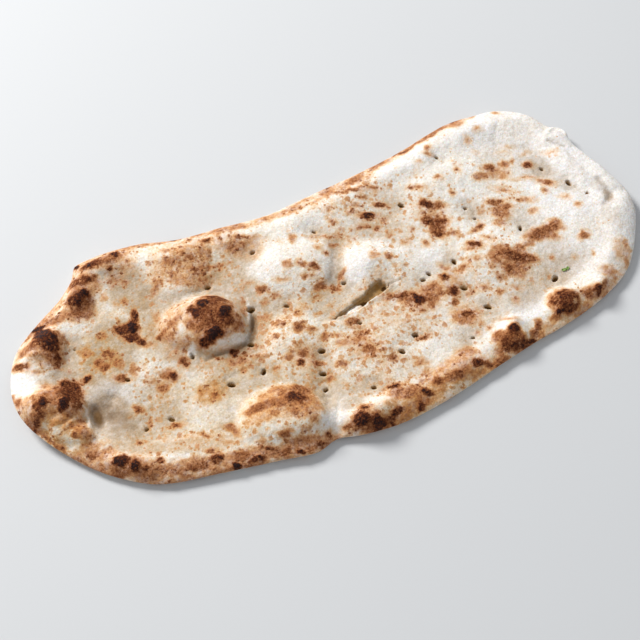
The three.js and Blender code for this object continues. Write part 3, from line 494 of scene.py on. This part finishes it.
# ---------------------------------------------------------------- the bread's mesh
def finer_copy(node):
    """A copy of the CAD skin, merged, joined into four-sided faces and split finer."""
    bpy.ops.object.select_all(action="DESELECT")
    bread = bpy.data.objects.new("naan_bread", node.data.copy())
    bpy.context.collection.objects.link(bread)
    bpy.context.view_layer.objects.active = bread
    bread.select_set(True)
    bpy.ops.object.mode_set(mode="EDIT")
    bpy.ops.mesh.select_all(action="SELECT")
    bpy.ops.mesh.remove_doubles(threshold=MERGE_WITHIN)
    bpy.ops.mesh.tris_convert_to_quads(face_threshold=QUAD_ANGLE, shape_threshold=QUAD_ANGLE)
    bpy.ops.mesh.customdata_custom_splitnormals_clear()
    bpy.ops.object.mode_set(mode="OBJECT")
    split = bread.modifiers.new("split", "SUBSURF")
    split.levels = SPLIT_LEVELS
    split.render_levels = SPLIT_LEVELS
    bpy.ops.object.modifier_apply(modifier=split.name)
    return bread


def ease(x):
    """0 below 0, 1 above 1, smooth between."""
    x = np.clip(x, 0, 1)
    return x * x * (3 - 2 * x)


def fade(away, edge, width):
    """1 well inside the edge, 0 beyond it, smooth over that width."""
    return ease((edge - away) / width)


def read(rows, what, width, kind):
    """One row of that many numbers for each point or edge."""
    values = np.empty(len(rows) * width, dtype=kind)
    rows.foreach_get(what, values)
    return values.reshape(-1, width)


class Skin:
    """The bread's points as arrays, with what is painted on them."""

    def __init__(self, bread, eye):
        mesh = bread.data
        self.bread = bread
        self.eye = eye
        self.places = read(mesh.vertices, "co", 3, float)
        facing = read(mesh.vertices, "normal", 3, float)[:, 2]
        self.upper = facing > UPPER_SLOPE
        self.under = facing < UNDER_SLOPE
        self.warp = np.zeros((len(self.places), 2))
        self.edges = read(mesh.edges, "vertices", 2, np.int32)
        self.degree = np.bincount(self.edges.ravel(), minlength=len(self.places))
        self.tree = BVHTree.FromObject(bread, bpy.context.evaluated_depsgraph_get())
        self.start = self.places.copy()
        self.painted = {}

    def ray(self, across, down):
        """The direction in which the camera sees (across, down)."""
        direction = Vector(((across - FRAME / 2) * STEP, (FRAME / 2 - down) * STEP, -1))
        direction.rotate(self.eye.rotation_euler)
        return direction

    def spot(self, across, down):
        """The place on the bread that shows at (across, down), or the nearest one to it."""
        ray = self.ray(across, down)
        hit = self.tree.ray_cast(self.eye.location, ray)[0]
        if hit is None:
            on_table = self.eye.location - ray * (self.eye.location.z / ray.z)
            hit = self.tree.find_nearest(on_table)[0]
        return np.array(hit)

    def level_spot(self, across, down, height):
        """The place at that height that shows at (across, down)."""
        ray = self.ray(across, down)
        return np.array(self.eye.location + ray * ((height - self.eye.location.z) / ray.z))

    def around(self, centre, long, wide, turn=0.0):
        """How far each point lies from a turned ellipse's centre: 1 on its edge."""
        angle = math.radians(turn) + AZIMUTH
        flat = self.start[:, :2] + self.warp - centre[:2]
        along = flat[:, 0] * math.cos(angle) + flat[:, 1] * math.sin(angle)
        across = flat[:, 1] * math.cos(angle) - flat[:, 0] * math.sin(angle)
        away = np.hypot(along / long, across / wide)
        return np.where(self.upper, away, NOWHERE_NEAR)

    def oval(self, across, down, long, wide, turn=0.0):
        """The same for an oval from a table."""
        return self.around(self.spot(across, down), long * MM, wide * MM, turn)

    def beside(self, run):
        """How far each point lies from a run of places, and on which side: 1 is left of it."""
        best = np.full(len(self.start), NOWHERE_NEAR)
        side = np.ones(len(self.start))
        for a, b in zip(run, run[1:]):
            step = (b - a)[:2]
            flat = self.start[:, :2] + self.warp - a[:2]
            along = np.clip(flat @ step / (step @ step), 0, 1)[:, None]
            away = np.linalg.norm(flat - along * step, axis=1)
            nearer = away < best
            best = np.where(nearer, away, best)
            left = np.where(step[0] * flat[:, 1] > step[1] * flat[:, 0], 1.0, -1.0)
            side = np.where(nearer, left, side)
        return np.where(self.upper, best, NOWHERE_NEAR), side

    def along_run(self, run):
        """How far each point lies from a table's run of places."""
        return self.beside([self.spot(*place) for place in run])[0]

    def lumps(self, size, offset=0.0):
        """Smooth noise of about -1 to 1 at every point, with features of that size."""
        drift = Vector((offset, offset * 1.7, offset * 0.6))
        return np.array([noise.fractal(Vector(p) / size + drift, *OCTAVES) for p in self.start])

    def settle(self, chosen, rounds):
        """Evens out the heights of the chosen points."""
        a, b = self.edges.T
        height = self.places[:, 2]
        for _ in range(rounds):
            total = np.bincount(a, height[b], len(height)) + np.bincount(b, height[a], len(height))
            height[chosen] = (total / self.degree)[chosen]

    def store(self, lowest, highest):
        """Writes the points and the paint back, no lower or higher than the solid."""
        mesh = self.bread.data
        self.places[:, 2] = np.clip(self.places[:, 2], lowest, highest)
        mesh.vertices.foreach_set("co", self.places.ravel())
        mesh.update()
        for name, values in self.painted.items():
            layer = mesh.attributes.new(name, "FLOAT", "POINT")
            layer.data.foreach_set("value", np.clip(values, 0, 1))


# ---------------------------------------------------------------- relief
def fill_funnels(skin):
    """Fills the solid's funnels, so that each docking hole can be cut afresh."""
    near = np.full(len(skin.start), NOWHERE_NEAR)
    for across, down, *_ in HOLES:
        near = np.minimum(near, skin.around(skin.spot(across, down), HOLE_CLEARED, HOLE_CLEARED))
    skin.settle(near < 1, FUNNEL_ROUNDS)


def ease_slopes(skin):
    """Turns a few slopes that are too sudden into one even slope."""
    for oval in EVEN_SLOPES:
        skin.settle(skin.oval(*oval) < 1, SLOPE_ROUNDS)


def cut_holes(skin):
    """Cuts each docking hole as a small steep-sided oval."""
    sunk_and_shade = np.zeros(len(skin.start))
    surface = skin.places[:, 2].copy()
    for across, down, share, *turn in HOLES:
        centre = skin.spot(across, down)
        away = skin.around(centre, HOLE_LONG * share, HOLE_WIDE * share, *turn)
        close = away < HOLE_REACH
        inside = away < 1.0
        squeezed = np.interp(away, [0, 0.5, 0.999, 1.0, 1.45, HOLE_REACH],
                             [0, 0.85, 0.97, 1.03, 1.15, HOLE_REACH])
        scale = np.where(close & (away > 0), squeezed / np.maximum(away, 1e-6), 1)[:, None]
        moved = centre[:2] + (skin.start[:, :2] - centre[:2]) * scale
        skin.places[close, :2] = moved[close]
        floor = surface - HOLE_DEPTH * min(1.0, share) * (1 - 0.25 * away**2)
        skin.places[inside, 2] = np.maximum(floor, LEAST_FLOOR)[inside]
        dip = HOLE_DIP * np.exp(-((away - 1) / HOLE_DIP_WIDTH) ** 2)
        skin.places[close & ~inside, 2] -= dip[close & ~inside]
        # Each hole is painted olive inside, with painted shade on its floor.
        sunk_and_shade = np.maximum(sunk_and_shade, np.interp(away, [0, 0.5, 0.8, 1.0, 1.2], [1, 1, 0.92, 0.85, 0]))
    skin.painted["sunk_and_shade"] = sunk_and_shade


def open_slit(skin):
    """Gives the torn slit a clean far edge, a floor, and a near lip that stands over it."""
    lip_height = SLIT_LIP * MM
    far = [skin.level_spot(*place, lip_height) for place in SLIT_FAR]
    near = [skin.level_spot(*place, lip_height) for place in SLIT_NEAR]
    from_far, far_side = skin.beside(far)
    from_near, near_side = skin.beside(near)
    axis = (far[-1] - far[0])[:2]
    along = (skin.start[:, :2] - far[0][:2]) @ axis / (axis @ axis)  # 0 to 1 from end to end
    height = skin.places[:, 2]

    beyond = (far_side > 0) & (from_far < SLIT_ROOF) & (along > -0.1) & (along < 1.15)
    roof = (SLIT_LIP - 1.1 * (1 - np.clip(along, 0, 1)) - 2.2 * (from_far / SLIT_ROOF) ** 2) * MM
    height[beyond] = np.maximum(height, roof)[beyond]
    lip = (near_side < 0) & (along > -0.02) & (along < 1.15)
    risen = fade(from_near / SLIT_RISE, 1, 1) * fade(along, 1.15, 0.2) * ease((along + 0.02) / 0.15)
    height[lip] += (np.maximum((SLIT_LIP - 0.2) * MM - height, 0) * risen)[lip]

    between = (far_side < 0) & (near_side > 0) & (from_far < SLIT_WIDEST) & (from_near < SLIT_WIDEST)
    between &= (along > -0.02) & (along < 1.12)
    bumpy = 0.35 * MM * skin.lumps(2.5 * MM, offset=12)
    height[between] = (SLIT_FLOOR * MM + bumpy)[between]
    shaded_hem = beyond & (from_far < SLIT_SHADE_HEM) & (along > 0.05) & (along < 1.0)
    # The slit's floor and pits are painted olive with painted shade, and a hem along the far edge gets
    # painted shade.
    shade = np.where(shaded_hem, 0.5, np.where(between, 0.92, 0))

    across, down, long, wide, turn = TORN_CRUMB
    crumb = skin.around(skin.level_spot(across, down, CRUMB_FOOT), long * MM, wide * MM, turn)
    torn = between & (crumb < 1)
    height[torn] += (CRUMB_HEIGHT * (1 - crumb**2) + bumpy)[torn]
    shade = np.where(torn, 0.0, shade)
    for across, down, radius in SLIT_PITS:
        pit = skin.around(skin.level_spot(across, down, SLIT_FLOOR * MM), radius * MM, radius * MM)
        height[between & (pit < 1)] = LEAST_FLOOR
        shade = np.where(between & (pit < 1), 1, shade)

    draw_to(skin, far, from_far)
    draw_to(skin, near, from_near)
    skin.painted["sunk_and_shade"] = np.maximum(skin.painted["sunk_and_shade"], shade)
    skin.painted["bake"] = np.where(between, np.where(torn, 0, 0.1), skin.painted["bake"])
    skin.painted["raw_and_shade"] = np.where(between, 0.0, skin.painted["raw_and_shade"])


def draw_to(skin, run, away):
    """Draws the points beside a run of places towards it, so that the edge there is crisp."""
    for a, b in zip(run, run[1:]):
        step = (b - a)[:2]
        flat = skin.start[:, :2] - a[:2]
        share = flat @ step / (step @ step)
        foot = a[:2] + np.clip(share, 0, 1)[:, None] * step
        gap = np.linalg.norm(skin.start[:, :2] - foot, axis=1)
        close = (gap < SLIT_DRAWN) & (gap < away + 0.01 * MM) & skin.upper
        pull = (1 - gap / SLIT_DRAWN)[:, None] * 0.8
        skin.places[close, :2] += ((foot - skin.start[:, :2]) * pull)[close]


def sink_pockets(skin):
    """The deep, sheltered folds beside the lobes and the big blister, with raw dough and painted shade in
    them.
    """
    skin.painted["folded"] = np.zeros(len(skin.start))
    for *oval, depth, shade_amount in POCKETS:
        away = skin.oval(*oval)
        dip = np.clip(1 - away**2, 0, 1) ** 1.5
        height = skin.places[:, 2]
        height -= np.minimum(depth * MM * dip, np.maximum(height - LEAST_FLOOR, 0))
        # Raw dough and painted shade by the fold's depth, and painted shade by its listed amount.
        skin.painted["raw_and_shade"] = np.maximum(skin.painted["raw_and_shade"], dip)
        skin.painted["folded"] = np.maximum(skin.painted["folded"], shade_amount * fade(away, 1.15, 0.8))


def press_creases(skin):
    """The creases and ridges in the skin, with painted shade along some creases."""
    for run, half, depth, shade_amount in CREASES:
        share = np.clip(skin.along_run(run) / (half * MM), 0, 1)
        pressed = (1 - share**2) ** 2
        skin.places[:, 2] -= depth * MM * pressed
        skin.painted["folded"] = np.maximum(skin.painted["folded"], shade_amount * pressed)


def raise_bubbles(skin):
    """The small bubbles under the hardest scorch marks."""
    for across, down, radius, height in BUBBLES:
        away = skin.oval(across, down, radius, radius)
        skin.places[:, 2] += height * MM * np.clip(1 - away**2, 0, 1) ** 0.8


def roughen(skin):
    """Lumps all over the crumb, and a blistered crackle where the crust is burnt."""
    calm = np.where(skin.upper, 1.0, 0.6) * (1 - skin.painted["sunk_and_shade"])
    for height, size, offset in LUMPS:
        skin.places[:, 2] += height * MM * skin.lumps(size * MM, offset) * calm
    burnt = np.clip((skin.painted["bake"] - 0.6) / 0.35, 0, 1)
    height, size, offset = CRACKLE
    skin.places[:, 2] += height * MM * np.abs(skin.lumps(size * MM, offset)) * burnt


# ---------------------------------------------------------------- paint
def spare_pale(skin, values):
    """Thins the paint where the bread stayed pale."""
    for *oval, amount in PALE:
        values *= 1 - amount * fade(skin.oval(*oval), 1.35, 0.7)


def dab_on(skin, values, ovals, edge, width):
    """The paint, raised to each oval's amount where the oval covers it."""
    for *oval, amount in ovals:
        values = np.maximum(values, amount * fade(skin.oval(*oval), edge, width))
    return values


def paint_heat(skin):
    """The bake at every point, from the dabs, with wandering outlines."""
    for size, amount, offset in WANDER:
        skin.warp[:, 0] += amount * MM * skin.lumps(size * MM, offset)
        skin.warp[:, 1] += amount * MM * skin.lumps(size * MM, offset + 20)
    heat = np.zeros(len(skin.start))
    for *oval, strength in DABS:
        away = skin.oval(*oval)
        wide = oval[3]
        soft = 0.7 + 0.7 / max(wide, 1.0)
        cover = fade(away, 1 + soft * 0.5, soft)
        halo = HALO * strength * fade(away, 1.35 + 1.3 / wide, 1.0)
        heat = np.maximum(heat, np.maximum(strength * cover, halo))
    uneven = np.clip(0.85 + 0.7 * skin.lumps(9 * MM, offset=41), 0.25, 1.25)
    for run, half, strength in BANDS:
        band = fade(skin.along_run(run) / (half * MM), 1.4, 1.0)
        heat = np.maximum(heat, strength * uneven * band)
    spare_pale(skin, heat)
    across, down, radius = ORANGE_PIP
    pip = skin.oval(across, down, radius, radius)
    amber = np.minimum(heat, PIP_HEAT + PIP_CLIMB * ease((pip - 0.6) / 0.6))
    heat = np.where(pip < 1.3, amber, heat)
    skin.warp[:] = 0
    below = 0.30 + 0.9 * skin.lumps(15 * MM, offset=31) + 0.45 * skin.lumps(5 * MM, offset=37)
    skin.painted["bake"] = np.where(skin.under, np.clip(below, 0, 0.66), heat)


def paint_specks(skin):
    """How thickly the small golden specks lie."""
    density = np.full(len(skin.start), USUAL_SPECKS)
    for *oval, value in SPECKLED:
        density = density + (value - density) * fade(skin.oval(*oval), 1.3, 0.6)
    spare_pale(skin, density)
    skin.painted["specks"] = density


def paint_dough(skin):
    """Raw beige dough with painted shade, in hollows and listed ovals, and where the dough is golden."""
    kept = skin.places.copy()
    skin.settle(skin.upper, DOUGH_ROUNDS)
    smooth = skin.places[:, 2].copy()
    skin.places[:] = kept
    # Painted shade and raw dough where the skin lies below its smoothed surroundings.
    hollow_shade = HOLLOW_RAW_AND_SHADE * np.clip((smooth - kept[:, 2]) / HOLLOW, 0, 1)
    raw_and_shade = dab_on(skin, hollow_shade, RAW_DOUGH_AND_SHADE, 1.25, 0.7)
    spare_pale(skin, raw_and_shade)
    skin.painted["raw_and_shade"] = raw_and_shade * skin.upper
    skin.painted["golden"] = dab_on(skin, np.zeros(len(skin.start)), GOLDEN, 1.3, 0.6)


# ---------------------------------------------------------------- materials
# Crust colours by heat, from raw cream to char.
BAKE = [
    (0.00, (0.90, 0.885, 0.865)),
    (0.11, (0.865, 0.715, 0.563)),
    (0.24, (0.785, 0.525, 0.332)),
    (0.37, (0.655, 0.365, 0.186)),
    (0.50, (0.515, 0.24, 0.115)),
    (0.62, (0.38, 0.150, 0.058)),
    (0.74, (0.24, 0.076, 0.028)),
    (0.86, (0.125, 0.032, 0.012)),
    (0.94, (0.066, 0.016, 0.007)),
    (1.00, (0.026, 0.010, 0.010)),
]
# raw beige dough, also used as painted shade in hollows and sheltered places
RAW_AND_SHADE = (0.48, 0.365, 0.25)
# the olive inside of holes and slit, partly its own tone and partly painted shade
OLIVE_AND_SHADE = (0.36, 0.20, 0.055)
YELLOWED = (0.93, 0.81, 0.58)
# painted shade in folds and creases
FOLD_SHADE = (0.34, 0.235, 0.13)
FLOUR = (0.90, 0.88, 0.86)
PORE = (0.62, 0.52, 0.40)
# painted shade on the floors of holes and pits
PIT_FLOOR_SHADE = (0.36, 0.31, 0.27)
UNSPECKLED = (1.01, 1.025, 1.07)
COOL_CLOUD, WARM_CLOUD = (1.025, 1.025, 1.02), (0.98, 0.94, 0.88)
DARK_MOTTLE, LIGHT_MOTTLE = (0.92, 0.888, 0.828), (1.05, 1.05, 1.05)
LEAF_COLOURS = [(0.3, (0.10, 0.20, 0.02)), (0.7, (0.30, 0.42, 0.10))]

# The patterns in the crust: size in millimetres, detail and roughness of the noise.
PATTERNS = {
    "frayed edges": (1.6, 4, 0.62),
    "ragged edges": (4.5, 3, 0.55),
    "cracked char": (1.5, 5, 0.75),
    "patches of specks": (12, 2, 0.55),
    "haze of specks": (8, 5, 0.65),
    "toasted grains": (1.2, 2, 0.7),
    "warm clouds": (22, 3, 0.55),
    "mottle": (1.9, 4, 0.7),
    "pores": (1.1, 3, 0.6),
    "flour": (3.2, 4, 0.65),
    "golden grains": (3.6, 4, 0.6),
    "fine grain": (0.8, 3, 0.6),
    "crumb": (2.4, 3, 0.55),
    "blistered skin": (1.3, 4, 0.65),
    "leaf veins": (0.5, 3, 0.55),
}


class Nodes:
    """A short way to make and link the nodes of one material."""

    def __init__(self, name):
        self.material = bpy.data.materials.new(name)
        self.material.use_nodes = True
        self.tree = self.material.node_tree
        self.shader = self.tree.nodes["Principled BSDF"]
        self.where = self.node("ShaderNodeTexCoord").outputs["Object"]

    def node(self, kind, **settings):
        made = self.tree.nodes.new(kind)
        for key, value in settings.items():
            setattr(made, key, value)
        return made

    def feed(self, target, value):
        """Links a socket into another, or sets a plain value on it."""
        if isinstance(value, bpy.types.NodeSocket):
            self.tree.links.new(value, target)
        else:
            target.default_value = value

    def work_out(self, operation, a, b, clamp=False):
        """One sum. Either side may be a socket."""
        made = self.node("ShaderNodeMath", operation=operation, use_clamp=clamp)
        self.feed(made.inputs[0], a)
        self.feed(made.inputs[1], b)
        return made.outputs[0]

    def plus(self, a, b, clamp=False):
        return self.work_out("ADD", a, b, clamp)

    def minus(self, a, b):
        return self.work_out("SUBTRACT", a, b)

    def times(self, a, b):
        return self.work_out("MULTIPLY", a, b)

    def painted(self, name):
        return self.node("ShaderNodeAttribute", attribute_name=name).outputs["Fac"]

    def noise(self, size, detail, rough):
        """Noise of 0 to 1 with features of that size in metres."""
        made = self.node("ShaderNodeTexNoise")
        self.feed(made.inputs["Vector"], self.where)
        made.inputs["Scale"].default_value = 1 / size
        made.inputs["Detail"].default_value = detail
        made.inputs["Roughness"].default_value = rough
        return made.outputs["Fac"]

    def pattern(self, name):
        """The noise that PATTERNS lists under that name."""
        size, detail, rough = PATTERNS[name]
        return self.noise(size * MM, detail, rough)

    def step(self, value, low, high):
        """0 below low, 1 above high, smooth between. Either end may be a socket."""
        made = self.node("ShaderNodeMapRange", interpolation_type="SMOOTHSTEP")
        self.feed(made.inputs["Value"], value)
        self.feed(made.inputs["From Min"], low)
        self.feed(made.inputs["From Max"], high)
        return made.outputs["Result"]

    def ramp(self, value, stops):
        made = self.node("ShaderNodeValToRGB")
        made.color_ramp.interpolation = "LINEAR"
        while len(made.color_ramp.elements) < len(stops):
            made.color_ramp.elements.new(0.5)
        for element, (position, colour) in zip(made.color_ramp.elements, stops):
            element.position = position
            element.color = (*colour, 1)
        self.feed(made.inputs["Fac"], value)
        return made.outputs["Color"]

    def blend(self, share, a, b, kind="MIX"):
        made = self.node("ShaderNodeMix", data_type="RGBA", blend_type=kind)
        self.feed(made.inputs["Factor"], share)
        for socket, value in ((made.inputs["A"], a), (made.inputs["B"], b)):
            self.feed(socket, (*value, 1) if isinstance(value, tuple) else value)
        return made.outputs["Result"]

    def stain(self, share, colour, stain):
        return self.blend(share, colour, stain, "MULTIPLY")


def freckles(n, size, thick, offset):
    """Round, uneven freckles, one to a cell at most, each with its own size and strength."""
    drift = n.node("ShaderNodeTexNoise")
    n.feed(drift.inputs["Vector"], n.where)
    drift.inputs["Scale"].default_value = 1.6 / size
    drift.inputs["Detail"].default_value = 2.0
    push = n.node("ShaderNodeVectorMath", operation="MULTIPLY_ADD")
    n.feed(push.inputs[0], drift.outputs["Color"])
    push.inputs[1].default_value = (0.6 * size, 0.6 * size, 0.6 * size)
    n.feed(push.inputs[2], n.where)
    shift = n.node("ShaderNodeVectorMath", operation="ADD")
    n.feed(shift.inputs[0], push.outputs[0])
    shift.inputs[1].default_value = (offset, offset, 0)
    cells = n.node("ShaderNodeTexVoronoi")
    n.feed(cells.inputs["Vector"], shift.outputs[0])
    cells.inputs["Scale"].default_value = 1 / size
    chance = n.node("ShaderNodeSeparateColor")
    n.feed(chance.inputs[0], cells.outputs["Color"])
    present = n.minus(chance.outputs[0], n.minus(0.92, n.times(thick, 0.80)))
    radius = n.times(n.step(present, -0.05, 0.60), 0.62)
    frayed = n.times(n.minus(n.noise(0.35 * size, 3, 0.65), 0.5), 0.9)
    edge = n.minus(n.plus(radius, frayed), cells.outputs["Distance"])
    strength = n.plus(0.45, n.times(chance.outputs[1], 0.75))
    return n.times(n.step(edge, -0.16, 0.24), strength)


def specks(n, thick):
    """Small and large freckles with a haze between them."""
    small = freckles(n, 1.8 * MM, thick, 0.3)
    large = freckles(n, 3.3 * MM, thick, 0.7)
    least = n.minus(0.62, n.times(thick, 0.30))
    haze = n.step(n.pattern("haze of specks"), least, n.plus(least, 0.24))
    together = n.plus(n.plus(n.times(small, 0.34), n.times(large, 0.36)), n.times(haze, 0.13))
    return n.work_out("MINIMUM", together, 0.42)


def baked_share(n, density):
    """How baked each place looks: the painted heat with frayed edges, specks and grains."""
    heat = n.painted("bake")
    frayed = n.pattern("frayed edges")
    swing = n.plus(n.times(n.minus(frayed, 0.5), 0.50),
                   n.times(n.minus(n.pattern("ragged edges"), 0.5), 0.50))
    taken = n.step(heat, 0.03, 0.35)
    dabbed = n.plus(heat, n.times(swing, taken))
    cracked = n.times(n.minus(n.pattern("cracked char"), 0.5), n.step(heat, 0.55, 0.80))
    dabbed = n.plus(dabbed, n.times(cracked, 1.3))

    thick = n.plus(density, n.times(n.minus(n.pattern("patches of specks"), 0.5), 1.0))
    speckled = n.times(specks(n, thick), n.plus(0.30, n.times(frayed, 1.4)))
    speckled = n.times(speckled, n.minus(1.0, n.step(heat, 0.12, 0.66)))
    grains = n.minus(n.pattern("toasted grains"), 0.48)
    toasted = n.times(n.times(grains, n.plus(thick, taken)), 0.35)
    return n.plus(n.plus(dabbed, speckled), toasted, clamp=True)


def dough_tints(n, colour, baked, unbaked):
    """Raw dough with painted shade in hollows, warm clouds, mottling, pores and a dusting of flour."""
    raw_and_shade = n.painted("raw_and_shade")
    # Raw dough tone, which is also painted shade in hollows and sheltered places.
    colour = n.blend(n.times(n.times(raw_and_shade, unbaked), 0.9), colour, RAW_AND_SHADE)
    clouds = n.step(n.pattern("warm clouds"), 0.35, 0.65)
    colour = n.stain(1.0, colour, n.blend(clouds, COOL_CLOUD, WARM_CLOUD))
    mottle = n.step(n.pattern("mottle"), 0.35, 0.65)
    colour = n.stain(1.0, colour, n.blend(mottle, DARK_MOTTLE, LIGHT_MOTTLE))
    pores = n.step(n.pattern("pores"), 0.62, 0.40)
    colour = n.stain(n.times(pores, 0.30), colour, PORE)
    flour = n.step(n.pattern("flour"), 0.46, 0.66)
    flour = n.times(flour, n.minus(1.0, n.step(baked, 0.15, 0.75)))
    flour = n.times(flour, n.minus(1.0, n.times(raw_and_shade, 0.6)))
    return n.blend(n.times(flour, 0.45), colour, FLOUR)


def golden_share(n, baked, unbaked):
    """Where the dough is golden: in grains on the pale ground, and on the lighter marks."""
    grains = n.step(n.pattern("golden grains"), 0.36, 0.62)
    ground = n.times(n.times(grains, unbaked), 0.7)
    marks = n.minus(n.step(baked, 0.10, 0.28), n.step(baked, 0.42, 0.75))
    return n.times(n.painted("golden"), n.work_out("MAXIMUM", ground, marks))


def crust_relief(n, baked):
    """The grain of the crust, rougher where it is charred."""
    relief = n.plus(n.times(n.pattern("fine grain"), 0.30), n.times(n.pattern("crumb"), 0.60))
    blister = n.times(n.pattern("blistered skin"), n.step(baked, 0.5, 0.95))
    bump = n.node("ShaderNodeBump")
    bump.inputs["Strength"].default_value = 0.8
    bump.inputs["Distance"].default_value = 1.0 * MM
    n.feed(bump.inputs["Height"], n.plus(relief, n.times(blister, 1.4)))
    return bump.outputs["Normal"]


def crust_material():
    """Dough and bake, golden places and painted shade in folds, then the olive inside of holes and slit
    with painted shade.
    """
    n = Nodes("baked naan crust")
    density = n.painted("specks")
    sunk_and_shade = n.painted("sunk_and_shade")
    baked = baked_share(n, density)
    unbaked = n.minus(1.0, n.step(baked, 0.1, 0.6))
    colour = dough_tints(n, n.ramp(baked, BAKE), baked, unbaked)
    colour = n.stain(golden_share(n, baked, unbaked), colour, YELLOWED)
    # Painted shade in folds and creases.
    colour = n.stain(n.painted("folded"), colour, FOLD_SHADE)
    # Olive inside the holes and the slit, partly its own tone and partly painted shade.
    colour = n.blend(n.times(sunk_and_shade, 0.95), colour, OLIVE_AND_SHADE)
    # Painted shade on the floors of holes and pits.
    colour = n.stain(n.step(sunk_and_shade, 0.93, 1.0), colour, PIT_FLOOR_SHADE)
    colour = n.stain(n.step(density, 0.30, 0.05), colour, UNSPECKLED)
    n.feed(n.shader.inputs["Base Color"], colour)
    n.feed(n.shader.inputs["Roughness"], n.minus(0.80, n.times(n.step(baked, 0.8, 1.0), 0.34)))
    n.feed(n.shader.inputs["Normal"], crust_relief(n, baked))
    n.shader.inputs["Specular IOR Level"].default_value = 0.10
    n.shader.inputs["Subsurface Weight"].default_value = 0.12
    n.shader.inputs["Subsurface Radius"].default_value = (1.0, 0.55, 0.3)
    n.shader.inputs["Subsurface Scale"].default_value = 1.6 * MM
    return n.material


def leaf_material():
    """The herb fleck's two greens."""
    n = Nodes("fresh herb")
    n.feed(n.shader.inputs["Base Color"], n.ramp(n.pattern("leaf veins"), LEAF_COLOURS))
    n.shader.inputs["Roughness"].default_value = 0.5
    return n.material


# ---------------------------------------------------------------- the pieces
def leaf_shred(place, long, wide, turn):
    """One crumpled shred of leaf that lies at a place on the crust."""
    bpy.ops.mesh.primitive_grid_add(x_subdivisions=8, y_subdivisions=5, size=2)
    shred = bpy.context.object
    angle = math.radians(turn) + AZIMUTH
    for v in shred.data.vertices:
        narrowing = 1 - 0.55 * v.co.x**2
        x = v.co.x * long * MM
        y = v.co.y * wide * narrowing * MM
        curl = (0.25 + 0.22 * math.sin(4 * v.co.x) + 0.3 * v.co.y**2) * MM
        v.co = Vector((
            place[0] + x * math.cos(angle) - y * math.sin(angle),
            place[1] + x * math.sin(angle) + y * math.cos(angle),
            place[2] + curl + 0.15 * MM,
        ))
    thick = shred.modifiers.new("thick", "SOLIDIFY")
    thick.thickness = 0.25 * MM
    thick.offset = 0
    bpy.ops.object.modifier_apply(modifier=thick.name)
    return shred


def herb_fleck(skin):
    """Two crumpled shreds of leaf that lie on the crust, as one piece."""
    bpy.ops.object.select_all(action="DESELECT")
    shreds = [leaf_shred(skin.spot(across, down), *shape) for across, down, *shape in LEAF_AT]
    for shred in shreds:
        shred.select_set(True)
    bpy.ops.object.join()
    leaf = bpy.context.object
    leaf.name = "herb_fleck"
    leaf.data.materials.append(leaf_material())
    bpy.ops.object.shade_smooth()
    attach(leaf, "root")


def dress_bread(node, eye):
    """The bread's visible piece, in place of its CAD node."""
    bread = finer_copy(node)
    skin = Skin(bread, eye)
    paint_heat(skin)
    paint_specks(skin)
    fill_funnels(skin)
    paint_dough(skin)
    ease_slopes(skin)
    cut_holes(skin)
    open_slit(skin)
    sink_pockets(skin)
    press_creases(skin)
    raise_bubbles(skin)
    roughen(skin)
    low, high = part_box(LAYER)
    skin.store(low[2], high[2])
    bread.data.materials.clear()
    bread.data.materials.append(crust_material())
    bpy.ops.object.select_all(action="DESELECT")
    bread.select_set(True)
    bpy.context.view_layer.objects.active = bread
    bpy.ops.object.shade_smooth()
    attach(bread, "root")
    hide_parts(LAYER)
    return skin


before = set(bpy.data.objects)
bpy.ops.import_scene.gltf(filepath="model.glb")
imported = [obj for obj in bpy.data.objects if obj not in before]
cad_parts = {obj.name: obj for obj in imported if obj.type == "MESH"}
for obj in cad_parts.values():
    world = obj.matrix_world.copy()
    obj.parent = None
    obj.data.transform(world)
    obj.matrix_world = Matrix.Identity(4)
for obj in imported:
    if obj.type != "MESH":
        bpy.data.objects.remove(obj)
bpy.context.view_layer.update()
eye = camera()
studio()
skin = dress_bread(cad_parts[LAYER], eye)
herb_fleck(skin)
